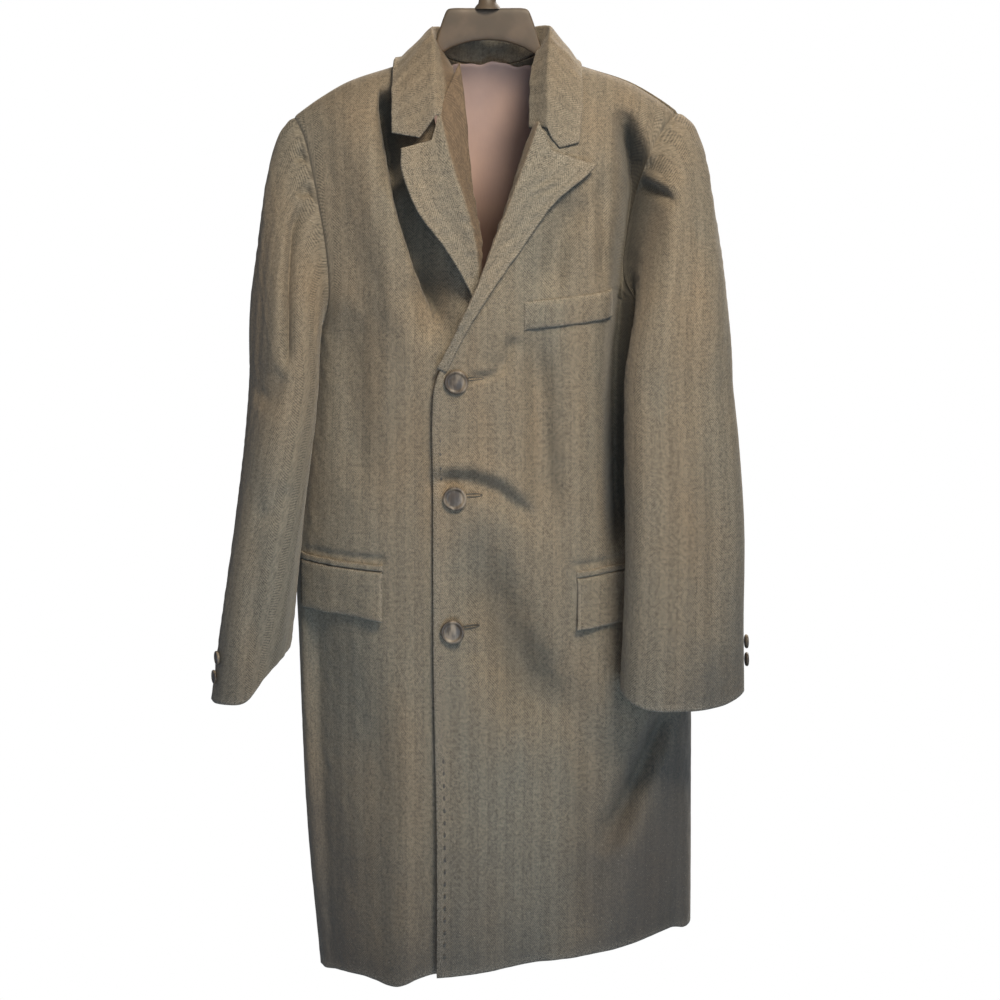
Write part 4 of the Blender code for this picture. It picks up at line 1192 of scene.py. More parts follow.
@dataclass(frozen=True)
class WoolFinish:
    """Napped herringbone wool in a light and a dark yarn."""

    name: str = "wool_herringbone"
    light: Colour = (0.266, 0.217, 0.159, 1.0)
    dark: Colour = (0.039, 0.034, 0.028, 1.0)
    warm: Colour = (1.07, 1.0, 0.91, 1.0)
    cool: Colour = (0.91, 0.97, 1.005, 1.0)
    worn: Colour = (0.33, 0.286, 0.224, 1.0)
    # Colour that the cloth darkens to towards the hem and up the sides
    soil: Colour = (0.05, 0.047, 0.046, 1.0)
    facing: Colour = (0.15, 0.103, 0.064, 1.0)
    facing_deep: Colour = (0.08, 0.056, 0.037, 1.0)
    # Painted shade for cloth deep in a fold
    fold_shade: Colour = (0.036, 0.039, 0.035, 1.0)
    column: float = 0.0105
    pitch: float = 0.003
    nap: float = 0.16
    hem_dark_share: float = 0.72
    fleck_share: float = 0.45
    facing_share: float = 0.92
    fold_shade_share: float = 0.5

    def build(self) -> Material:
        """Material of the wool.

        Returns:
            Material that reads the weave map and the wear, facing and fold masks.
        """
        material, tools, shader = new_material(self.name)
        chart = tools.chart()
        wear, facing, fold = (tools.made("ShaderNodeAttribute", {}, "Fac", attribute_name=label)
                              for label in ("wear", "facing", "fold"))
        twill = tools.add("ShaderNodeGroup", node_tree=HERRINGBONE.build())
        tools.fill(twill, {"Map": chart, "Column": self.column, "Pitch": self.pitch})
        heather = tools.add("ShaderNodeGroup", node_tree=HEATHER.build())
        tools.fill(heather, {"Map": chart, "Place": tools.place()})
        speckle, slub = heather.outputs["Speckle"], heather.outputs["Slub"]
        yarn = tools.total((twill.outputs["Yarn"], 0.3), (speckle, 0.34), (heather.outputs["Mottle"], 0.3),
                           (slub, 0.08), (twill.outputs["Tone"], 0.07), clamp=True)
        colour = tools.blend(yarn, self.dark, self.light)
        for mask, share in (("Patch", 1.0), ("Streak", 0.6)):
            tint = tools.blend(heather.outputs[mask], self.cool, self.warm)
            colour = tools.blend(share, colour, tint, "MULTIPLY")
        # Darken the cloth towards the hem and up the sides
        colour = tools.blend(tools.scaled(heather.outputs["Soil"], self.hem_dark_share), colour, self.soil)
        rubbed = tools.math("MULTIPLY", wear, tools.math("SUBTRACT", tools.scaled(speckle, 0.75), 0.25))
        flecks = tools.scaled(heather.outputs["Fleck"], self.fleck_share)
        colour = tools.blend(tools.math("MAXIMUM", rubbed, flecks, clamp=True), colour, self.worn)
        plain = tools.blend(tools.ramp(yarn, 0.25, 0.85), self.facing_deep, self.facing)
        colour = tools.blend(tools.scaled(facing, self.facing_share), colour, plain)
        # Painted shade: darker where the cloth lies deep in a fold
        colour = tools.blend(tools.scaled(fold, self.fold_shade_share), colour, self.fold_shade)
        tools.fill(shader, {"Base Color": colour, "Roughness": tools.ramp(speckle, 0.0, 1.0, 0.82, 0.96),
                            "Specular IOR Level": 0.25, "Sheen Weight": self.nap, "Sheen Roughness": 0.45,
                            "Sheen Tint": (0.8, 0.74, 0.64, 1.0)})
        height = tools.total((twill.outputs["Height"], 0.6), (speckle, 1.0), (slub, 0.5))
        tools.bump(shader, height, 0.3, 0.0006)
        return material


@dataclass(frozen=True)
class SatinFinish:
    """Faded satin lining with fine upright threads, soft blotches, and painted shade low down where the
    fronts shade it.
    """

    name: str = "lining_satin"
    pale: Colour = (0.47, 0.325, 0.276, 1.0)
    deep: Colour = (0.415, 0.292, 0.258, 1.0)
    # Painted shade deep in the V between the fronts
    painted_shade: Colour = (0.085, 0.044, 0.03, 1.0)
    shade_low: float = -0.335
    shade_high: float = -0.24
    shade_share: float = 0.94

    def build(self) -> Material:
        """Material of the lining.

        Returns:
            Material that reads the weave map.
        """
        material, tools, shader = new_material(self.name)
        chart = tools.chart()
        blotch = tools.ramp(tools.noise(chart, 22.0, 3.0), 0.3, 0.7)
        thread = tools.noise(chart, 900.0, 1.0, (1.0, 0.1, 1.0))
        colour = tools.blend(blotch, self.deep, self.pale)
        colour = tools.blend(tools.scaled(thread, 0.25), colour, self.deep)
        # Painted shade: the lining darkens towards the bottom of the V between the fronts
        shade_mask = tools.ramp(tools.split(chart)[1], self.shade_low, self.shade_high, self.shade_share, 0.0)
        tools.fill(shader, {"Base Color": tools.blend(shade_mask, colour, self.painted_shade), "Sheen Weight": 0.1,
                            "Roughness": tools.ramp(thread, 0.2, 0.8, 0.66, 0.8)})
        tools.bump(shader, thread, 0.25, 0.0003)
        return material


@dataclass(frozen=True)
class HornFinish:
    """Polished dark horn with lighter streaks."""

    name: str = "button_horn"
    dark: Colour = (0.058, 0.044, 0.032, 1.0)
    streak: Colour = (0.24, 0.19, 0.135, 1.0)

    def build(self) -> Material:
        """Material of the buttons.

        Returns:
            Material on object coordinates.
        """
        material, tools, shader = new_material(self.name)
        place = tools.place()
        swirl = tools.ramp(tools.noise(place, 130.0, 4.0, (1.0, 1.0, 0.35)), 0.38, 0.72)
        scratch = tools.noise(place, 1500.0, 2.0, (1.0, 1.0, 0.2))
        tools.fill(shader, {"Base Color": tools.blend(swirl, self.dark, self.streak),
                            "Roughness": tools.ramp(scratch, 0.3, 0.7, 0.34, 0.48),
                            "Specular IOR Level": 0.35})
        return material


@dataclass(frozen=True)
class MouldedFinish:
    """Dark moulded plastic with a fine grain, handled smooth in places."""

    name: str = "hanger_moulded"
    base: Colour = (0.066, 0.048, 0.031, 1.0)
    rubbed: Colour = (0.102, 0.07, 0.043, 1.0)

    def build(self) -> Material:
        """Material of the hanger and hook.

        Returns:
            Material on object coordinates.
        """
        material, tools, shader = new_material(self.name)
        place = tools.place()
        cloud = tools.ramp(tools.noise(place, 28.0, 3.0), 0.3, 0.72)
        tools.fill(shader, {"Base Color": tools.blend(cloud, self.base, self.rubbed),
                            "Roughness": tools.ramp(cloud, 0.0, 1.0, 0.58, 0.42)})
        tools.bump(shader, tools.noise(place, 1400.0, 2.0), 0.12, 0.0004)
        return material


@dataclass(frozen=True)
class ThreadFinish:
    """Waxed sewing thread with a visible twist."""

    name: str = "thread"
    base: Colour = (0.044, 0.038, 0.031, 1.0)
    sheen: Colour = (0.1, 0.086, 0.068, 1.0)

    def build(self) -> Material:
        """Material of the stitches.

        Returns:
            Material on object coordinates.
        """
        material, tools, shader = new_material(self.name)
        ply = tools.noise(tools.place(), 2200.0, 1.0)
        tools.fill(shader, {"Base Color": tools.blend(ply, self.base, self.sheen),
                            "Roughness": tools.ramp(ply, 0.0, 1.0, 0.55, 0.8)})
        return material


@dataclass(frozen=True)
class FloorFinish:
    """Plain pale floor with a faint mottling."""

    name: str = "floor_pale"
    low: Colour = (0.8, 0.79, 0.77, 1.0)
    high: Colour = (0.86, 0.85, 0.84, 1.0)

    def build(self) -> Material:
        """Material of the floor.

        Returns:
            Material on object coordinates.
        """
        material, tools, shader = new_material(self.name)
        cloud = tools.noise(tools.place(), 3.0)
        tools.fill(shader, {"Base Color": tools.blend(cloud, self.low, self.high), "Roughness": 0.7})
        return material


class Finishes:
    """Materials of the coat, each built once."""

    def __init__(self) -> None:
        """Build every finish."""
        self.wool = WoolFinish().build()
        self.satin = SatinFinish().build()
        self.horn = HornFinish().build()
        self.moulded = MouldedFinish().build()
        self.thread = ThreadFinish().build()


def dress(item: Item, material: Material, node: str = "") -> None:
    """Give a piece its finish and its body, and hide the solid that it stands for.

    Args:
        item: The piece.
        material: Its finish.
        node: Solid that it replaces, if it does.
    """
    item.data.materials.clear()
    item.data.materials.append(material)
    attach(item, "root")
    if node:
        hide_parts(node)
    LOG.info("%s: %d faces", item.name, len(item.data.polygons))


@dataclass
class Panels:
    """The two fronts and the back."""

    row_step: float = 0.0034
    crown_from: float = 0.96
    crown_rows: int = 24
    front_columns: int = 96
    back_columns: int = 66

    def shares(self) -> Array:
        """Rows of a panel, close together where the shoulder turns over.

        Returns:
            Shares from the hem to the shoulder.
        """
        lower = np.arange(0.0, self.crown_from, self.row_step)
        crown = 1.0 - (1.0 - self.crown_from) * np.linspace(1.0, 0.0, self.crown_rows + 1) ** 2
        return np.concatenate((lower, crown))

    def weave(self, points: Array, origin: int) -> Array:
        """Map of a panel in metres: across from a column that hangs true, and up.

        Args:
            points: Grid of the panel.
            origin: Column where the map starts.

        Returns:
            Grid of map places.
        """
        across = run_lengths(points, 1)
        across = across - across[:, origin:origin + 1] + points[:, origin:origin + 1, 0]
        return np.stack((across, points[:1, :, 2] + run_lengths(points, 0)), axis=-1)

    def front(self, side: Side) -> Item:
        """One front, from its edge or roll line to the side seam and armhole.

        Args:
            side: Which front.

        Returns:
            Object of the front.
        """
        across = np.linspace(0.0, 1.0, self.front_columns + 1)
        points = BODY.front_points(side, across, self.shares())
        plain = BODY.front_points(side, across, self.shares(), False)
        origin = 0
        sewn = ("right", "top")
        if side is Side.RIGHT:
            points, plain = points[:, ::-1], plain[:, ::-1]
            origin = self.front_columns
            sewn = ("left", "top")
        return ClothShell("front_" + side.label, points, self.weave(plain, origin), sewn=sewn,
                          grooved=sewn[:1], fold=fold_shade(points, plain), seed=3 + side.value).build()

    def back(self) -> Item:
        """The back, from side seam to side seam.

        Returns:
            Object of the back.
        """
        across = np.linspace(0.0, 1.0, self.back_columns + 1)
        grids = []
        for creased in (True, False):
            left = BODY.back_points(Side.LEFT, across, self.shares(), creased)[:, ::-1]
            right = BODY.back_points(Side.RIGHT, across, self.shares(), creased)[:, 1:]
            grids.append(np.concatenate((left, right), axis=1))
        points, plain = grids
        sewn = ("left", "right", "top")
        return ClothShell("back", points, self.weave(plain, self.back_columns), sewn=sewn, grooved=sewn[:2],
                          seed=7).build()

    def build(self, finishes: Finishes) -> None:
        """Make and dress the panels.

        Args:
            finishes: Materials of the coat.
        """
        made = {"front_" + side.label: self.front(side) for side in Side}
        made["back"] = self.back()
        for node, item in made.items():
            dress(item, finishes.wool, node)


@dataclass
class Sleeves:
    """Two-piece sleeves that hang from the armholes."""

    twist: Pair[float] = Pair(80.0, 4.0)
    cap_out: Pair[float] = Pair(0.055, 0.036)
    cap_under: Pair[float] = Pair(0.02, -0.004)
    cap_fore: Pair[float] = Pair(0.085, 0.014)
    cap_back: float = 0.012
    cap_lap: Pair[float] = Pair(0.017, 0.0)
    cap_fall: float = 0.017
    cap_rows: int = 100
    arm_rows: int = 110
    seam_share: float = 0.912
    head_rise: float = 0.0015
    head_reach: float = 0.016
    cuff_rise: Pair[Place] = Pair((0.018, 0.012), (0.05, -0.003))
    girth: float = 0.36
    flatness: float = 0.84
    # Reach of the painted fold shade from the armhole
    fold_shade_reach: float = 0.04
    arrive_share: float = 0.45
    joint_rows: tuple[int, int] = (20, 16)
    joint_passes: int = 12
    soft_reach: float = 0.014
    soft_passes: int = 40
    head_fall: float = 0.16
    sewn_still: float = 0.006
    fore_from: float = 0.25
    fore_span: float = 0.5
    first_row: float = 0.002

    def squared(self, wave: Array) -> Array:
        """Sine or cosine drawn out, so that a ring is squarer than an ellipse."""
        return np.sign(wave) * np.abs(wave) ** self.flatness

    def ring(self, side: Side, z: Array, angle: Array) -> Array:
        """Points of a sleeve's rings.

        Args:
            side: Which sleeve.
            z: Height of each ring.
            angle: Angles round it: 0 is outward and a quarter turn is forward.

        Returns:
            Grid of points, a row for each ring.
        """
        table = SLEEVES[side]
        size = {name: table.at(z, name)[:, None] for name in table.columns}
        turn = np.radians(size["turn"])
        reach = size["out"] * self.squared(np.cos(angle))[None, :]
        fore = size["fore"] * self.squared(np.sin(angle))[None, :]
        sign = side.value
        x = size["x"] + sign * np.cos(turn) * reach - sign * np.sin(turn) * fore
        y = size["y"] - np.sin(turn) * reach - np.cos(turn) * fore
        inward = np.clip(sign * (size["x"] - x) / size["out"], -1.0, 1.0)
        inner, outer = self.cuff_rise[side]
        rise = np.maximum(inward, 0.0)
        rise = np.sin(math.pi / 2.0 * rise) if side is Side.RIGHT else rise ** 4
        lift = inner * rise + outer * np.minimum(inward, 0.0) ** 4
        return np.stack((x, y, z[:, None] + size["tilt"] * lift), axis=-1)

    def armhole(self, side: Side, shares: Array) -> tuple[Array, Array, int]:
        """Armhole from the shoulder tip down the front and up the back.

        Args:
            side: Which armhole.
            shares: Rows of the panels from the underarm to the shoulder.

        Returns:
            Points of the loop, their angles, and the index of the fore seam.
        """
        outer = np.array([1.0])
        front = BODY.front_points(side, outer, shares[::-1])[:, 0]
        back = BODY.back_points(side, outer, shares)[:, 0]
        loop = np.concatenate((front, back[1:-1]))
        low = len(front) - 1
        lengths = np.linalg.norm(np.roll(loop, -1, axis=0) - loop, axis=1)
        whole = np.where(np.arange(len(loop)) < low, lengths[:low].sum(), lengths[low:].sum())
        angles = np.concatenate(([0.0], np.cumsum(math.pi * lengths / whole)[:-1]))
        seam = int(np.argmin(np.abs(shares[::-1] - self.seam_share)))
        return loop, angles, seam

    def form(self, side: Side, shares: Array) -> tuple[Array, Array, int]:
        """Rings of a sleeve from the armhole to the cuff, creased.

        Args:
            side: Which sleeve.
            shares: Rows of the panels from the underarm to the shoulder.

        Returns:
            Grid of points, the same grid uncreased, and the index of the fore seam.
        """
        loop, angles, seam = self.armhole(side, shares)
        table = SLEEVES[side]
        turned = angles + math.radians(self.twist[side])
        upper, cuff = table.keys[-1], table.keys[0]
        end = self.ring(side, np.array([upper]), turned)[0]
        top = (1.0 + np.cos(angles)) / 2.0
        over = self.cap_lap[side] * np.maximum(np.sin(angles), 0.0)
        out = side.value * (mix(self.cap_under[side], self.cap_out[side], top) - over)
        fore = np.where(np.sin(angles) > 0.0, self.cap_fore[side], self.cap_back) * np.sin(angles)
        leave = np.stack((out, -fore, np.full_like(out, -self.cap_fall)), axis=-1)
        arrive = np.zeros_like(end)
        arrive[:, 2] = self.arrive_share * (loop[:, 2] - end[:, 2])
        t = (np.arange(self.cap_rows) / self.cap_rows)[:, None, None]
        cap = (loop * (1 - t) ** 3 + (loop + leave) * (3 * t * (1 - t) ** 2)
               + (end + arrive) * (3 * t ** 2 * (1 - t)) + end * t ** 3)
        arm = self.ring(side, np.linspace(upper, cuff, self.arm_rows + 1), turned)
        points = np.concatenate((cap, arm))
        low, high = self.cap_rows - self.joint_rows[0], self.cap_rows + self.joint_rows[1]
        for _ in range(self.joint_passes):
            beside = points[low - 1:high - 1] + 2.0 * points[low:high] + points[low + 1:high + 1]
            points[low:high] = beside / 4.0
        soft = ease(run_lengths(points, 0) / self.soft_reach)[..., None]
        for _ in range(self.soft_passes):
            around = (np.roll(points, 1, axis=1) + 2.0 * points + np.roll(points, -1, axis=1)) / 4.0
            points = mix(points, around, soft)
        return self.creased(side, points), points, seam

    def creased(self, side: Side, points: Array) -> Array:
        """Sleeve with its head filled out and its creases pressed in.

        Args:
            side: Which sleeve.
            points: Its rings.

        Returns:
            Grid of the same points, moved.
        """
        closed = np.concatenate((points[:, -2:], points, points[:, :2]), axis=1)
        normals = grid_normals(closed)[:, 2:-2] * side.value
        down = run_lengths(points, 0)
        top = ease((points[:1, :, 2] - points[:1, :, 2].min()) / self.head_fall)
        head = self.head_rise * np.exp(-((down - self.head_reach) / self.head_reach) ** 2) * top
        x, z = points[..., 0], points[..., 2]
        sewn = ease(down / self.sewn_still)
        fore = ease((self.fore_from - normals[..., 1]) / self.fore_span)
        push = pressed(SLEEVE_FRONT_CREASES[side], x, z) * fore
        push = push + pressed(SLEEVE_BACK_CREASES[side], x, z) * (1.0 - fore)
        return points + normals * (head - push * sewn)[..., None]

    def weave(self, points: Array) -> Array:
        """Map of a sleeve in metres: round it and along it.

        Args:
            points: Rings of the sleeve.

        Returns:
            Grid of map places, with one column more to close the ring.
        """
        closed = np.concatenate((points, points[:, :1]), axis=1)
        around = run_lengths(closed, 1)
        around = around / around[:, -1:] * self.girth
        along = run_lengths(closed, 0)
        return np.stack((around, along[-1:] - along), axis=-1)

    def fold(self, side: Side, shares: Array, down: Array) -> Array:
        """Painted shade for the cloth beside an armhole, by how deep the front lies in the fold along it.

        Args:
            side: Which sleeve.
            shares: Rows of the panels from the underarm to the shoulder.
            down: Distance of the sleeve's points from the armhole.

        Returns:
            Share of painted shade in the fold, from 0 to 1.
        """
        outer = np.array([1.0])
        fronts = [BODY.front_points(side, outer, shares[::-1], creased)[:, 0] for creased in (True, False)]
        deep = np.zeros(down.shape[1])
        deep[:len(fronts[0])] = fold_shade(*fronts)
        return deep * np.exp(-(down / self.fold_shade_reach) ** 2)

    def halves(self, side: Side, shares: Array) -> dict[str, Item]:
        """Top and under half of a sleeve, cut at the fore and hind seams.

        Args:
            side: Which sleeve.
            shares: Rows of the panels from the underarm to the shoulder.

        Returns:
            Objects by the names of their solids.
        """
        points, plain, seam = self.form(side, shares)
        chart = self.weave(plain)
        fold = self.fold(side, shares, run_lengths(points, 0))
        count = points.shape[1]
        spans = {"top": np.arange(-seam, seam + 1), "under": np.arange(seam, count - seam + 1)}
        made = {}
        for label, columns in spans.items():
            if side is Side.LEFT:
                columns = columns[::-1]
            grid = points[::-1][:, columns % count]
            around = chart[::-1][:, columns % count].copy()
            around[..., 0] += np.floor_divide(columns, count)[None, :] * self.girth
            node = "sleeve_%s_%s" % (side.label, label)
            shell = ClothShell(node, grid, around, sewn=("left", "right", "top"), grooved=("top",),
                               fold=fold[::-1][:, columns % count], seed=11 + side.value)
            made[node] = shell.build()
        return made

    def build(self, shares: Array, finishes: Finishes) -> None:
        """Make and dress both sleeves.

        Args:
            shares: Rows of the panels.
            finishes: Materials of the coat.
        """
        upper = shares[shares > BODY.underarm + self.first_row]
        upper = np.concatenate(([BODY.underarm], upper))
        for side in Side:
            for node, item in self.halves(side, upper).items():
                dress(item, finishes.wool, node)


def rounded_corner(before: Array, corner: Array, after: Array, radius: float, count: int) -> Array:
    """Corner of three points drawn as a soft curve.

    Args:
        before: Point on one side.
        corner: The corner.
        after: Point on the other side.
        radius: Radius of the turn.
        count: Steps round it.

    Returns:
        Points from one side to the other.
    """
    low, high = unit(before - corner), unit(after - corner)
    half = math.acos(float(np.clip(np.dot(low, high), -STRAIGHT, STRAIGHT))) / 2.0
    reach = min(radius / math.tan(half), LEG_SHARE * float(np.linalg.norm(before - corner)),
                LEG_SHARE * float(np.linalg.norm(after - corner)))
    start, end = corner + low * reach, corner + high * reach
    t = np.linspace(0.0, 1.0, count + 1)[:, None]
    return start * (1 - t) ** 2 + corner * (2 * t * (1 - t)) + end * t ** 2


def resampled(line: Array, count: int) -> Array:
    """Line with its points spaced evenly.

    Args:
        line: Points of the line.
        count: Count of new points.

    Returns:
        The new points.
    """
    run = np.concatenate(([0.0], np.cumsum(np.linalg.norm(np.diff(line, axis=0), axis=1))))
    at = np.linspace(0.0, run[-1], count)
    return np.stack([np.interp(at, run, line[:, axis]) for axis in range(3)], axis=-1)


@dataclass
class Lapels:
    """Notched lapels that roll back from the fronts, with the facing that turns in."""

    steps: int = 128
    across: int = 34
    around: int = 10
    columns: int = 52
    radius: float = 0.006
    lay: float = 0.0007
    thickness: float = 0.003
    facing_climb: Pair[float] = Pair(0.0, 0.05)
    gorge_share: float = 0.34
    gorge_fall: Pair[Place] = Pair((-0.006, -0.0165), (-0.006, -0.0205))
    gorge_power: int = 7
    climb_span: Place = (0.7, 0.3)
    tuck_fall: float = 0.002
    roll_power: float = 0.6
    facing_past: float = 0.001
    facing_soft: float = 0.005
    worn_mark: Crease = Crease(
        ((0.0635, -0.218), (0.0665, -0.24), (0.063, -0.256), (0.05, -0.266)), 0.003, 0.0016)

    def climb(self, side: Side, step: Array) -> Array:
        """How far the facing's hidden edge climbs at a step up the lapel."""
        return self.facing_climb[side] * stepped(step, self.climb_span)

    def row(self, side: Side, step: float) -> Array:
        """Points across a lapel from the facing to the outer edge.

        Args:
            side: Which lapel.
            step: Share of the way from the break to the gorge.

        Returns:
            Points, a row each.
        """
        table = LAPELS[side]
        size = {name: float(table.at(step, name)) for name in table.columns}
        sign = side.value
        rest = float(BODY.front_depth(side, np.array(size["x_roll"]), np.array(size["z_roll"]), False))
        roll = np.array((size["x_roll"], rest - size["rise"], size["z_roll"]))
        climb = float(self.climb(side, step))
        tuck = roll + np.array((-sign * size["lean"], size["turn"], climb - self.tuck_fall))
        q = np.arange(1, self.across + 1) / self.across
        dip = np.minimum(q / self.gorge_share, (1.0 - q) / (1.0 - self.gorge_share))
        dip = dip * step ** self.gorge_power
        fall = self.gorge_fall[side]
        x = mix(size["x_roll"], size["x_edge"], q) + sign * fall[0] * dip
        z = mix(size["z_roll"], size["z_edge"], q) + fall[1] * dip
        flat = self.lay + self.thickness + size["lift"] * q ** 2
        rise = mix(size["rise"], flat, ease(q ** self.roll_power))
        y = BODY.front_depth(side, x, z, False) - rise
        if side is Side.LEFT:
            y = y + self.worn_mark.press(x, z)
        face = np.stack((x, y, z), axis=-1)
        curve = rounded_corner(tuck, roll, face[2], self.radius, self.around)
        return np.concatenate((tuck[None], curve, face[3:]))

    def lapel(self, side: Side) -> Item:
        """One lapel.

        Args:
            side: Which lapel.

        Returns:
            Object of the lapel.
        """
        steps = np.linspace(0.0, 1.0, self.steps)
        points = np.array([resampled(self.row(side, step), self.columns) for step in steps])
        across = run_lengths(points, 1)
        along = run_lengths(points, 0)[:, -1:]
        weave = np.stack((across[:, -1:] - across, np.broadcast_to(along, across.shape)), axis=-1)
        lean, turn = (LAPELS[side].at(steps, name) for name in ("lean", "turn"))
        turned = np.sqrt(lean ** 2 + turn ** 2 + self.climb(side, steps) ** 2)[:, None]
        facing = ease((turned + self.facing_past - across) / self.facing_soft)
        if side is Side.RIGHT:
            points, weave, facing = points[:, ::-1], weave[:, ::-1], facing[:, ::-1]
        return ClothShell("lapel_" + side.label, points, weave, self.thickness, worn_all=0.5, facing=facing,
                          wave=0.0006, crinkle=0.0007, seed=21 + side.value).build()

    def build(self, finishes: Finishes) -> None:
        """Make and dress both lapels.

        Args:
            finishes: Materials of the coat.
        """
        for side in Side:
            item = self.lapel(side)
            dress(item, finishes.wool, "lapel_" + side.label)


@dataclass
class Collar:
    """Fall collar on a stand, notched at the gorge."""

    steps: int = 84
    across: int = 26
    around: int = 10
    columns: int = 52
    radius: float = 0.0055
    lay: float = 0.0012
    thickness: float = 0.003
    drops: Pair[float] = Pair(0.014, 0.0)
    insets: Pair[float] = Pair(0.004, 0.0)
    stand_off: Pair[float] = Pair(0.002, 0.006)
    stand_in: Pair[float] = Pair(0.0, 0.017)
    apart: Pair[float] = Pair(0.009, 0.0)
    notch_share: float = 0.34
    notch: Place = (0.002, -0.018)
    notch_from: float = 0.8
    apart_span: Place = (0.25, 0.25)
    stand_span: Place = (0.45, 0.6)
    facing_span: Place = (0.45, 0.2)
    facing_high: float = 0.024
    facing_soft: float = 0.008

    def off_body(self, points: Array, side: Side) -> Array:
        """Points of the leaf moved out where they would sink into the shoulders.

        Args:
            points: Points from the roll to the leaf's edge.
            side: Side of the coat.

        Returns:
            The points, moved.
        """
        x, y, z = points.T
        lift = self.lay + self.thickness + self.stand_off[side] * np.linspace(0.0, 1.0, len(x)) ** 2
        middle = BODY.ridge(x) - BODY.shoulder_round
        deep = np.where(y <= 0.0, BODY.depth(x, middle, True, False), BODY.depth(x, middle, False, False))
        share = np.hypot(y / deep, (z - middle) / BODY.shoulder_round)
        grow = np.maximum(1.0, 1.0 / share + lift / np.hypot(y, z - middle))
        return np.stack((x, y * grow, middle + (z - middle) * grow), axis=-1)

    def row(self, side: Side, place: float) -> Array:
        """Points across the collar from the foot of the stand over the roll to the leaf's edge.

        Args:
            side: Side of the coat.
            place: Share of the way from the middle of the back to the gorge.

        Returns:
            Points, a row each.
        """
        key = place * COLLAR.keys[-1]
        size = {name: float(COLLAR.at(key, name)) for name in COLLAR.columns}
        sign = side.value
        drop = size["drop"] * self.drops[side]
        inset = size["drop"] * self.insets[side]
        apart = self.apart[side] * float(stepped(place, self.apart_span))
        roll = np.array((sign * (size["roll_x"] + apart), size["roll_y"], size["roll_z"] - drop))
        edge = np.array((sign * (size["edge_x"] - inset), size["edge_y"], size["edge_z"] - drop))
        inward = self.stand_in[side] * float(stepped(place, self.stand_span))
        stand = np.array((sign * (size["stand_x"] - inward), size["stand_y"], size["stand_z"] - drop))
        q = (np.arange(1, self.across + 1) / self.across)[:, None]
        notch = np.clip((place - self.notch_from) / (1.0 - self.notch_from), 0.0, 1.0) ** 3
        dip = np.minimum(q / self.notch_share, (1.0 - q) / (1.0 - self.notch_share)) * notch
        leaf = mix(roll, edge, q) + np.array((sign * self.notch[0], 0.0, self.notch[1])) * dip
        leaf = self.off_body(leaf, side)
        middle = mix(stand, roll, 0.5)
        curve = rounded_corner(middle, roll, leaf[1], self.radius, self.around)
        return np.concatenate((stand[None], middle[None], curve, leaf[2:]))

    def build(self, finishes: Finishes) -> None:
        """Make and dress the collar.

        Args:
            finishes: Materials of the coat.
        """
        steps = np.arange(self.steps, -self.steps - 1, -1) / self.steps
        rows = [self.row(Side.LEFT if step >= 0.0 else Side.RIGHT, abs(step)) for step in steps]
        points = np.array([resampled(row, self.columns) for row in rows])
        for _ in range(2):
            points[1:-1] = (points[:-2] + 2.0 * points[1:-1] + points[2:]) / 4.0
        across = run_lengths(points, 1)
        along = run_lengths(points, 0)[:, self.columns // 2:self.columns // 2 + 1]
        weave = np.stack((np.broadcast_to(along, across.shape), across), axis=-1)
        low = ease((self.facing_high - across) / self.facing_soft)
        facing = stepped(-steps[:, None], self.facing_span) * low
        item = ClothShell("collar", points, weave, self.thickness, worn_all=0.2, facing=facing,
                          wave=0.0006, crinkle=0.0005, seed=31).build()
        dress(item, finishes.wool, "collar")


@dataclass(frozen=True)
class PocketStrip:
    """Welt, flap or jet laid on a front, by the corners of its strip."""

    name: str
    x_in: float
    x_out: float
    top_in: float
    top_out: float
    height: float
    thickness: float
    lift: float
    curl: float
    flat: float = 0.4
    upright_power: int = 8
    across_power: int = 24
    ripple: Triple = (0.35, 9.0, 1.0)

    @property
    def side(self) -> Side:
        """Front that the strip lies on."""
        return Side.LEFT if self.x_in > 0.0 else Side.RIGHT

    def points(self, columns: int, rows: int) -> Array:
        """Grid of the strip's outside.

        Args:
            columns: Steps across.
            rows: Steps up.

        Returns:
            Points, bottom row first and columns from left to right.
        """
        across = np.linspace(0.0, 1.0, columns + 1)[None, :]
        up = np.linspace(0.0, 1.0, rows + 1)[:, None]
        x = mix(self.x_in, self.x_out, across) + np.zeros_like(up)
        z = mix(self.top_in, self.top_out, across) - self.height * (1.0 - up)
        level = 1.0 - (2.0 * across - 1.0) ** self.across_power
        pillow = self.thickness * (1.0 - (2.0 * up - 1.0) ** self.upright_power) * level
        raised = self.lift + self.flat * self.thickness + (1.0 - self.flat) * pillow
        share, count, phase = self.ripple
        curled = self.curl * (1.0 - up) ** 2 * (1.0 + share * np.sin(count * across + phase))
        grid = np.stack((x, BODY.front_depth(self.side, x, z) - raised - curled, z), axis=-1)
        return grid if self.side is Side.LEFT else grid[:, ::-1]


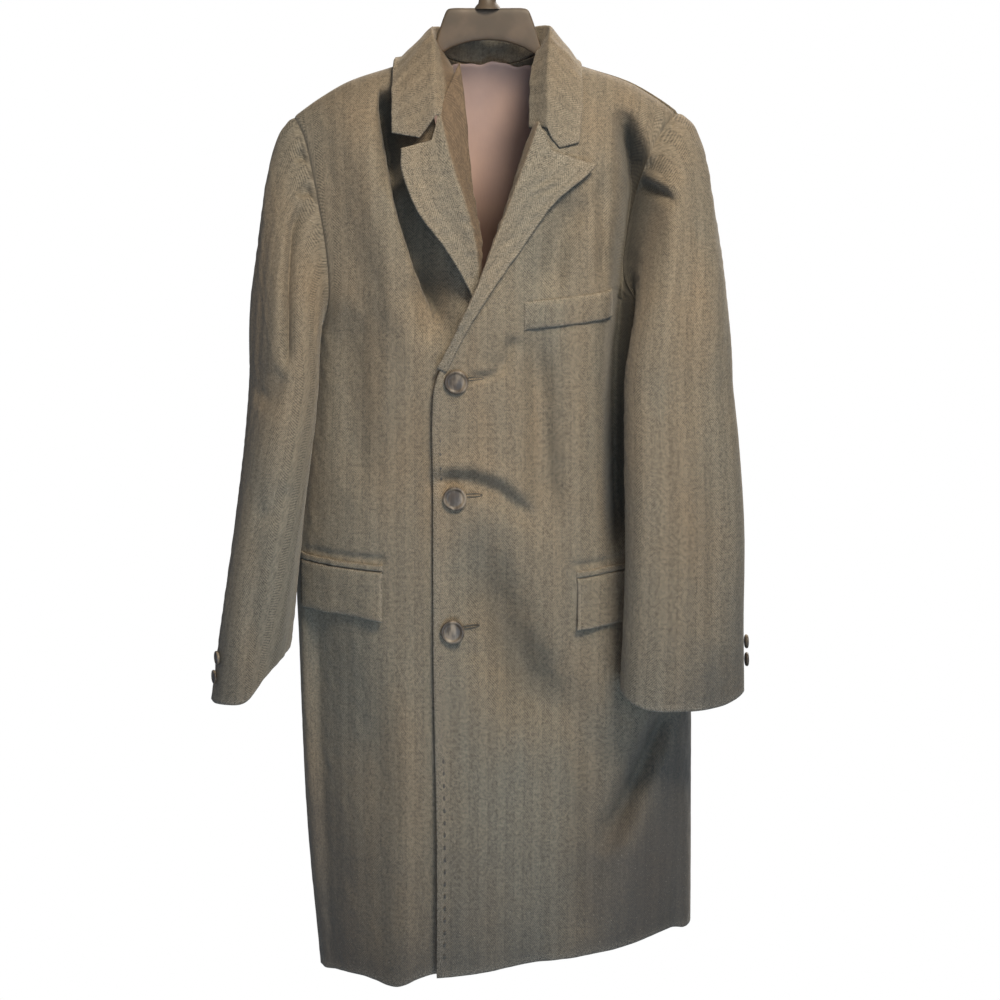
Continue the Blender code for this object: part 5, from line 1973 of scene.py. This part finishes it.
@dataclass
class Pockets:
    """Chest welt, and hip flaps under their jets."""

    columns: int = 72
    row_height: float = 0.0016
    least_rows: int = 8
    strips: tuple[PocketStrip, ...] = (
        PocketStrip("welt", 0.041, 0.139, -0.3885, -0.378, 0.031, 0.003, 0.0008, 0.0),
        PocketStrip("flap_left", 0.101, 0.205, -0.7, -0.693, 0.056, 0.0034, 0.0022, 0.006),
        PocketStrip("flap_right", -0.119, -0.214, -0.694, -0.69, 0.054, 0.0034, 0.0022, 0.007),
        PocketStrip("jet_left", 0.1, 0.205, -0.6915, -0.6845, 0.0068, 0.003, 0.0016, 0.0),
        PocketStrip("jet_right", -0.118, -0.214, -0.6855, -0.6815, 0.0068, 0.003, 0.0016, 0.0),
    )

    def build(self, finishes: Finishes) -> None:
        """Make and dress the pockets.

        Args:
            finishes: Materials of the coat.
        """
        for strip in self.strips:
            points = strip.points(self.columns, max(self.least_rows, int(strip.height / self.row_height)))
            item = ClothShell(strip.name, points, points[..., [0, 2]], strip.thickness, worn_width=0.003,
                              wave=0.0, crinkle=0.0003).build()
            dress(item, finishes.wool, strip.name)


@dataclass
class Lining:
    """Satin inside the back, hung from the neck seam to the waist."""

    top: float = -0.131
    low: float = -0.62
    half: float = 0.19
    columns: int = 90
    rows: int = 120
    thickness: float = 0.0008
    crown_gap: float = 0.02
    scallops: tuple[Triple, ...] = ((0.0016, 150.0, 0.0), (0.0008, 310.0, 0.7))
    ripples: tuple[Triple, ...] = ((0.0012, 70.0, 2.0), (0.0008, 133.0, 5.0))
    ripple_below: float = 0.15
    clear: float = 0.0075
    slack: float = 0.005
    slack_half: float = 0.11
    slack_below: float = 0.2
    slack_span: Place = (0.58, 0.3)

    def build(self, finishes: Finishes) -> None:
        """Make and dress the lining.

        Args:
            finishes: Materials of the coat.
        """
        x = np.linspace(-self.half, self.half, self.columns + 1)[None, :]
        up = np.linspace(0.0, 1.0, self.rows + 1)[:, None]
        crown = np.minimum(self.top, BODY.ridge(x) - self.crown_gap)
        crown = crown + sum(height * np.sin(count * x + phase) for height, count, phase in self.scallops)
        z = mix(self.low, crown, up)
        across = np.broadcast_to(x, z.shape)
        ripple = sum(height * np.sin(count * x + lean * up) for height, count, lean in self.ripples)
        hung = ease((1.0 - up) / self.slack_below) * stepped(up, self.slack_span)
        off = self.clear + self.slack * np.exp(-(x / self.slack_half) ** 4) * hung
        y = BODY.depth(across, z, False) - off + ripple * ease((1.0 - up) / self.ripple_below)
        points = np.stack((across, y, z), axis=-1)
        item = ClothShell("lining", points, points[..., [0, 2]], self.thickness,
                          wave=0.0, crinkle=0.0).build()
        dress(item, finishes.satin, "lining")


@dataclass(frozen=True)
class ButtonSpot:
    """Place of a button on the front or on a cuff."""

    name: str
    x: float
    z: float
    cuff: Side | None = None
    angle: float = 0.0


@dataclass
class Buttons:
    """Slightly domed buttons with a raised rim."""

    radius: float = 0.0135
    depth: float = 0.0052
    cuff_radius: float = 0.008
    cuff_depth: float = 0.0036
    lift: float = 0.0006
    turn_steps: int = 56
    probe: float = 0.004
    probe_turn: float = 0.05
    spots: tuple[ButtonSpot, ...] = (
        ButtonSpot("button_top", -0.034, -0.475),
        ButtonSpot("button_middle", -0.036, -0.606),
        ButtonSpot("button_low", -0.039, -0.757),
        ButtonSpot("cuff_button_right_high", 0.0, -0.7885, Side.RIGHT, 38.0),
        ButtonSpot("cuff_button_right_low", 0.0, -0.8105, Side.RIGHT, 38.0),
        ButtonSpot("cuff_button_left_high", 0.0, -0.775, Side.LEFT, 12.0),
        ButtonSpot("cuff_button_left_low", 0.0, -0.798, Side.LEFT, 12.0),
    )
    profile: tuple[Place, ...] = (
        (0.0, 0.0), (0.6, 0.0), (0.86, 0.12), (0.97, 0.34), (1.0, 0.58), (0.985, 0.8), (0.93, 0.95),
        (0.86, 1.0), (0.79, 0.96), (0.74, 0.86), (0.69, 0.75), (0.61, 0.72), (0.42, 0.78), (0.2, 0.82),
        (0.0, 0.83),
    )

    def seat(self, spot: ButtonSpot, sleeves: Sleeves) -> tuple[Vector, Vector]:
        """Place and facing of a button.

        Args:
            spot: Which button.
            sleeves: The sleeves, for a button on a cuff.

        Returns:
            Point on the cloth and the direction that the button faces.
        """
        if spot.cuff is None:
            step = self.probe
            x = np.array((spot.x, spot.x - step, spot.x + step, spot.x, spot.x))
            z = np.array((spot.z, spot.z, spot.z, spot.z - step, spot.z + step))
            y = BODY.front_depth(Side.LEFT, x, z, False)
            across, up = Vector((2 * step, y[2] - y[1], 0.0)), Vector((0.0, y[4] - y[3], 2 * step))
            facing = across.cross(up).normalized()
            return Vector((spot.x, min(y[0], float(BODY.front_depth(Side.LEFT, x, z)[0])), spot.z)), facing
        angle = math.radians(spot.angle) + np.array((-self.probe_turn, 0.0, self.probe_turn))
        before, here, after = sleeves.ring(spot.cuff, np.array([spot.z]), angle)[0]
        across = after - before
        facing = Vector((-across[1], across[0], 0.0)).normalized()
        outward = Vector((spot.cuff.value, 0.0, 0.0))
        return Vector(here), facing if facing.dot(outward) > 0.0 else -facing

    def build(self, sleeves: Sleeves, finishes: Finishes) -> None:
        """Make and dress the buttons.

        Args:
            sleeves: The sleeves that carry the cuff buttons.
            finishes: Materials of the coat.
        """
        outline = np.array(self.profile)
        angles = np.linspace(0.0, 2.0 * math.pi, self.turn_steps, endpoint=False)
        for spot in self.spots:
            radius, depth = self.radius, self.depth
            if spot.cuff is not None:
                radius, depth = self.cuff_radius, self.cuff_depth
            seat, facing = self.seat(spot, sleeves)
            turn = np.array(facing.to_track_quat("Z", "Y").to_matrix())
            rings = []
            for reach, height in outline:
                ring = np.stack((np.cos(angles) * reach * radius, np.sin(angles) * reach * radius,
                                 np.full_like(angles, height * depth)), axis=-1)
                rings.append(ring)
            places = np.concatenate(rings) @ turn.T + np.array(seat + facing * self.lift)
            item = lathe_object(spot.name, places, len(outline), self.turn_steps)
            dress(item, finishes.horn, spot.name)


def lathe_object(name: str, places: Array, rings: int, around: int) -> Item:
    """Turned mesh from rings of points, with its poles merged and its faces outward.

    Args:
        name: Name of the piece.
        places: Points, ring after ring.
        rings: Count of rings.
        around: Points in a ring.

    Returns:
        Object at the origin.
    """
    index = np.arange(rings * around).reshape(rings, around)
    after = np.roll(index, -1, axis=1)
    faces = np.stack((index[:-1], after[:-1], after[1:], index[1:]), axis=-1).reshape(-1, 4)
    item = mesh_object(name, places, faces)
    draft = bmesh.new()
    draft.from_mesh(item.data)
    bmesh.ops.remove_doubles(draft, verts=draft.verts, dist=1e-7)
    bmesh.ops.recalc_face_normals(draft, faces=draft.faces)
    draft.to_mesh(item.data)
    draft.free()
    return item


@dataclass
class StitchTree:
    """Geometry Nodes tree that lays short thread stitches along a line."""

    name: str = "stitches"
    tree: Tree | None = None

    def build(self) -> Tree:
        """Tree with its spacing, length, thickness and thread as inputs.

        Returns:
            The tree, built once.
        """
        if self.tree:
            return self.tree
        tree = bpy.data.node_groups.new(self.name, "GeometryNodeTree")
        kinds = {"Geometry": "Geometry", "Spacing": "Float", "Length": "Float", "Thickness": "Float",
                 "Thread": "Material"}
        for label, kind in kinds.items():
            tree.interface.new_socket(label, in_out="INPUT", socket_type="NodeSocket" + kind)
        tree.interface.new_socket("Geometry", in_out="OUTPUT", socket_type="NodeSocketGeometry")
        tools = NodeTools(tree)
        given, leave = tools.add("NodeGroupInput").outputs, tools.add("NodeGroupOutput")
        even = tools.made("GeometryNodeResampleCurve",
                          {"Curve": given["Geometry"], "Length": given["Spacing"]}, mode="LENGTH")
        bead = tools.made("GeometryNodeMeshUVSphere", {"Segments": 6, "Rings": 4, "Radius": 0.5})
        tangent = tools.made("GeometryNodeInputTangent", {})
        along = tools.made("FunctionNodeAlignRotationToVector", {"Vector": tangent}, axis="X")
        thick = given["Thickness"]
        size = tools.made("ShaderNodeCombineXYZ", {"X": given["Length"], "Y": thick, "Z": thick})
        laid = tools.made("GeometryNodeInstanceOnPoints",
                          {"Points": even, "Instance": bead, "Rotation": along, "Scale": size})
        real = tools.made("GeometryNodeRealizeInstances", {"Geometry": laid})
        threaded = tools.made("GeometryNodeSetMaterial", {"Geometry": real, "Material": given["Thread"]})
        tools.fill(leave, {"Geometry": threaded})
        self.tree = tree
        return tree


STITCHES = StitchTree()


def stitched(name: str, lines: Sequence[Array], sizes: Triple, thread: Material) -> Item:
    """Mesh of stitches along lines.

    Args:
        name: Name of the piece.
        lines: Points of each line.
        sizes: Spacing, length and thickness of a stitch.
        thread: Finish of the thread.

    Returns:
        Plain mesh object with the stitches.
    """
    path = bpy.data.curves.new(name + "_path", "CURVE")
    path.dimensions = "3D"
    for line in lines:
        spline = path.splines.new("POLY")
        spline.points.add(len(line) - 1)
        spline.points.foreach_set("co", np.hstack((line, np.ones((len(line), 1)))).ravel())
    draft = linked(name + "_path", path)
    tree = STITCHES.build()
    laid = draft.modifiers.new("stitches", "NODES")
    laid.node_group = tree
    sockets = {item.name: item.identifier for item in tree.interface.items_tree if item.in_out == "INPUT"}
    for label, value in zip(("Spacing", "Length", "Thickness"), sizes):
        laid[sockets[label]] = value
    laid[sockets["Thread"]] = thread
    return finished(draft, name)


@dataclass
class Needlework:
    """Pick stitches along the front edge and worked buttonholes."""

    edge_in: float = 0.0085
    picked: tuple[Place, ...] = ((-1.13, -0.905), (-0.585, -0.495))
    pick: Triple = (0.0138, 0.0058, 0.0028)
    purl: Triple = (0.0011, 0.0015, 0.0013)
    hole_from: float = 0.006
    hole_to: float = 0.03
    hole_half: float = 0.0016
    hole_rise: float = 0.003
    hole_lift: float = 0.0002
    hole_points: int = 41
    pick_lift: float = 0.0006
    pick_points: int = 90

    def on_front(self, x: Array, z: Array, lift: float) -> Array:
        """Points on the wearer's left front, raised by a lift."""
        return np.stack((x, BODY.front_depth(Side.LEFT, x, z) - lift, z), axis=-1)

    def buttonhole(self, spot: ButtonSpot) -> Array:
        """Loop round a buttonhole that runs in from its button.

        Args:
            spot: The button.

        Returns:
            Points of the loop.
        """
        turn = np.linspace(0.0, 2.0 * math.pi, self.hole_points)
        middle = (self.hole_from + self.hole_to) / 2.0
        half = (self.hole_to - self.hole_from) / 2.0
        x = spot.x + middle + half * np.cos(turn)
        z = spot.z + self.hole_rise + self.hole_half * np.sin(turn)
        return self.on_front(x, z, self.hole_lift)

    def build(self, buttons: Buttons, finishes: Finishes) -> None:
        """Make and dress the stitches.

        Args:
            buttons: The buttons, whose holes are worked.
            finishes: Materials of the coat.
        """
        lines = []
        for low, high in self.picked:
            z = np.linspace(low, high, self.pick_points)
            lines.append(self.on_front(EDGES[Side.LEFT].at(z, "x") + self.edge_in, z, self.pick_lift))
        picks = stitched("pick_stitches", lines, self.pick, finishes.thread)
        holes = [self.buttonhole(spot) for spot in buttons.spots if spot.cuff is None]
        purls = stitched("buttonhole_stitches", holes, self.purl, finishes.thread)
        for item in (picks, purls):
            dress(item, finishes.thread)


@dataclass
class Hanger:
    """Moulded board with shoulder arms, and its hook."""

    # Reach from the middle, top, bottom and depth
    board: tuple[tuple[float, ...], ...] = (
        (0.0, -0.07, -0.105, 0.012),
        (0.02, -0.07, -0.1072, 0.012),
        (0.04, -0.0702, -0.1137, 0.012),
        (0.0455, -0.0725, -0.117, 0.012),
        (0.049, -0.08, -0.119, 0.012),
        (0.0545, -0.096, -0.123, 0.012),
        (0.06, -0.113, -0.129, 0.012),
    )
    # Reach, height and depth
    arms: tuple[Triple, ...] = (
        (0.068, 0.018, 0.013), (0.1, 0.022, 0.015), (0.13, 0.023, 0.017),
        (0.155, 0.023, 0.018), (0.174, 0.022, 0.018), (0.186, 0.018, 0.017),
    )
    arm_clear: float = 0.005
    squareness: float = 5.0
    around: int = 40
    steps: int = 150
    tip_round: float = 0.006
    tip_least: float = 0.02
    hook_inner: float = 0.02
    hook_bar: float = 0.0058
    hook_sunk: float = 0.001
    # Place across, height above the foot and half thickness
    neck: tuple[Triple, ...] = (
        (0.0, 0.0, 0.015), (0.0, 0.003, 0.0132), (0.0, 0.006, 0.0104), (0.0, 0.011, 0.0095),
        (0.004, 0.017, 0.0078),
    )
    crook: Place = (-42.0, 205.0)
    crook_points: int = 40
    point: tuple[Triple, ...] = ((0.0004, -0.0022, 0.005), (0.0007, -0.0034, 0.003))

    def sections(self) -> Table:
        """Sections from the middle to the tip of an arm.

        Returns:
            Top, bottom and depth by reach.
        """
        rows = list(self.board)
        for x, height, depth in self.arms:
            top = float(BODY.ridge(np.array(x))) - self.arm_clear
            rows.append((x, top, top - height, depth))
        return Table("x top bottom depth", *rows)

    def body(self) -> Item:
        """Board and arms as one rounded bar.

        Returns:
            Object of the board.
        """
        table = self.sections()
        reach = table.keys[-1]
        x = np.linspace(-reach, reach, 2 * self.steps + 1)
        top, bottom, depth = (table.at(np.abs(x), name) for name in ("top", "bottom", "depth"))
        tip = np.sqrt(np.clip((reach - np.abs(x)) / self.tip_round, 0.0, 1.0))
        shrink = mix(self.tip_least, 1.0, tip)
        turn = np.linspace(0.0, 2.0 * math.pi, self.around, endpoint=False)
        power = 2.0 / self.squareness
        across = np.sign(np.cos(turn)) * np.abs(np.cos(turn)) ** power
        up = np.sign(np.sin(turn)) * np.abs(np.sin(turn)) ** power
        y = (depth / 2.0 * shrink)[:, None] * across[None, :]
        z = ((top + bottom) / 2.0)[:, None] + ((top - bottom) / 2.0 * shrink)[:, None] * up[None, :]
        places = np.stack((np.broadcast_to(x[:, None], y.shape), y, z), axis=-1).reshape(-1, 3)
        return lathe_object("hanger_board", places, len(x), self.around)

    def hook(self) -> Item:
        """Neck and crook as one round bar.

        Returns:
            Object of the hook.
        """
        radius = self.hook_inner + self.hook_bar
        foot = float(self.sections().at(0.0, "top")) - self.hook_sunk
        path = [(x, foot + z, thick) for x, z, thick in self.neck]
        for turn in np.radians(np.linspace(*self.crook, self.crook_points)):
            path.append((radius * math.cos(turn), radius * math.sin(turn) - self.hook_inner, self.hook_bar))
        end_x, end_z, _ = path[-1]
        path += [(end_x + x, end_z + z, thick) for x, z, thick in self.point]
        curve = bpy.data.curves.new("hook_path", "CURVE")
        curve.dimensions = "3D"
        curve.bevel_depth = 1.0
        curve.bevel_resolution = 8
        curve.use_fill_caps = True
        spline = curve.splines.new("POLY")
        spline.points.add(len(path) - 1)
        for point, (x, z, thick) in zip(spline.points, path):
            point.co = (x, 0.0, z, 1.0)
            point.radius = thick
        item = finished(linked("hook_path", curve), "hanger_hook")
        item.data.polygons.foreach_set("use_smooth", np.ones(len(item.data.polygons), bool))
        return item

    def build(self, finishes: Finishes) -> None:
        """Make and dress the hanger."""
        dress(self.body(), finishes.moulded, "hanger")
        dress(self.hook(), finishes.moulded, "hook")


@dataclass(frozen=True)
class SoftLight:
    """Square area light aimed at a place on the coat."""

    name: str
    place: Triple
    aim: Triple
    size: float
    power: float
    colour: Triple
    spread: float

    def build(self) -> None:
        """Add the light."""
        lamp = bpy.data.lights.new(self.name, "AREA")
        lamp.shape = "SQUARE"
        lamp.size = self.size
        lamp.energy = self.power
        lamp.spread = math.radians(self.spread)
        lamp.color = self.colour
        item = linked(self.name, lamp)
        item.location = self.place
        item.rotation_euler = (Vector(self.aim) - Vector(self.place)).to_track_quat("-Z", "Y").to_euler()


@dataclass
class Studio:
    """Pale floor, soft light and the photograph's camera."""

    target: Triple = (0.0138, 0.0, -0.626)
    distance: float = 3.0
    elevation: float = 10.0
    half_frame: float = 0.575
    floor_z: float = -1.95
    floor_size: float = 3.2
    low_glow: Colour = (0.07, 0.125, 0.23, 1.0)
    high_glow: Colour = (0.27, 0.265, 0.26, 1.0)
    glow_span: Place = (-0.6, 0.8)
    lights: tuple[SoftLight, ...] = (
        SoftLight("key", (0.52, -1.5, 0.92), (0.0, 0.0, -0.43), 0.6, 4.7, (1.0, 0.89, 0.73), 48.0),
        SoftLight("front_fill", (0.3, -2.8, 0.3), (0.0, 0.0, -0.42), 1.4, 1.3, (1.0, 0.92, 0.82), 40.0),
        SoftLight("cool_low", (0.4, -2.4, -1.5), (0.06, 0.0, -0.92), 1.2, 3.3, (0.5, 0.74, 1.0), 48.0),
        SoftLight("behind", (0.9, 2.1, 1.3), (0.0, 0.0, -0.6), 1.2, 20.0, (1.0, 0.95, 0.88), 80.0),
    )

    def world(self) -> None:
        """White surround that lights softly, brighter from above."""
        world = bpy.data.worlds.new("studio")
        bpy.context.scene.world = world
        world.use_nodes = True
        tools = NodeTools(world.node_tree)
        shell = world.node_tree.nodes["Background"]
        direction = tools.split(tools.made("ShaderNodeTexCoord", {}, "Generated"))
        glow = tools.blend(tools.ramp(direction[2], *self.glow_span), self.low_glow, self.high_glow)
        seen = tools.made("ShaderNodeLightPath", {}, "Is Camera Ray")
        tools.fill(shell, {"Color": tools.blend(seen, glow, (1.0, 1.0, 1.0, 1.0)), "Strength": 1.0})

    def camera(self) -> None:
        """Camera at the photograph's angle and framing."""
        lens = bpy.data.cameras.new("photo")
        lens.angle = 2.0 * math.atan(self.half_frame / self.distance)
        lens.clip_end = 50.0
        item = linked("photo", lens)
        lean = math.radians(self.elevation)
        offset = Vector((0.0, -math.cos(lean), math.sin(lean))) * self.distance
        item.location = Vector(self.target) + offset
        item.rotation_euler = (-offset).to_track_quat("-Z", "Y").to_euler()
        bpy.context.scene.camera = item

    def floor(self) -> None:
        """Pale floor below the hanging coat."""
        half = self.floor_size / 2.0
        corners = np.array(((-half, -half, self.floor_z), (half, -half, self.floor_z),
                            (half, half, self.floor_z), (-half, half, self.floor_z)))
        item = mesh_object("floor", corners, np.array(((0, 1, 2, 3),)))
        item.data.materials.append(FloorFinish().build())

    def build(self) -> None:
        """Set the stage."""
        bpy.context.scene.view_settings.view_transform = "Standard"
        self.world()
        self.camera()
        self.floor()
        for light in self.lights:
            light.build()


def main() -> None:
    """Build the coat's looks in order and report each piece."""
    logging.basicConfig(level=logging.INFO, format="%(name)s: %(message)s")
    finishes = Finishes()
    panels, sleeves, buttons = Panels(), Sleeves(), Buttons()
    panels.build(finishes)
    sleeves.build(panels.shares(), finishes)
    Lapels().build(finishes)
    Collar().build(finishes)
    Pockets().build(finishes)
    Lining().build(finishes)
    buttons.build(sleeves, finishes)
    Needlework().build(buttons, finishes)
    Hanger().build(finishes)
    Studio().build()


if __name__ == "__main__":
    main()
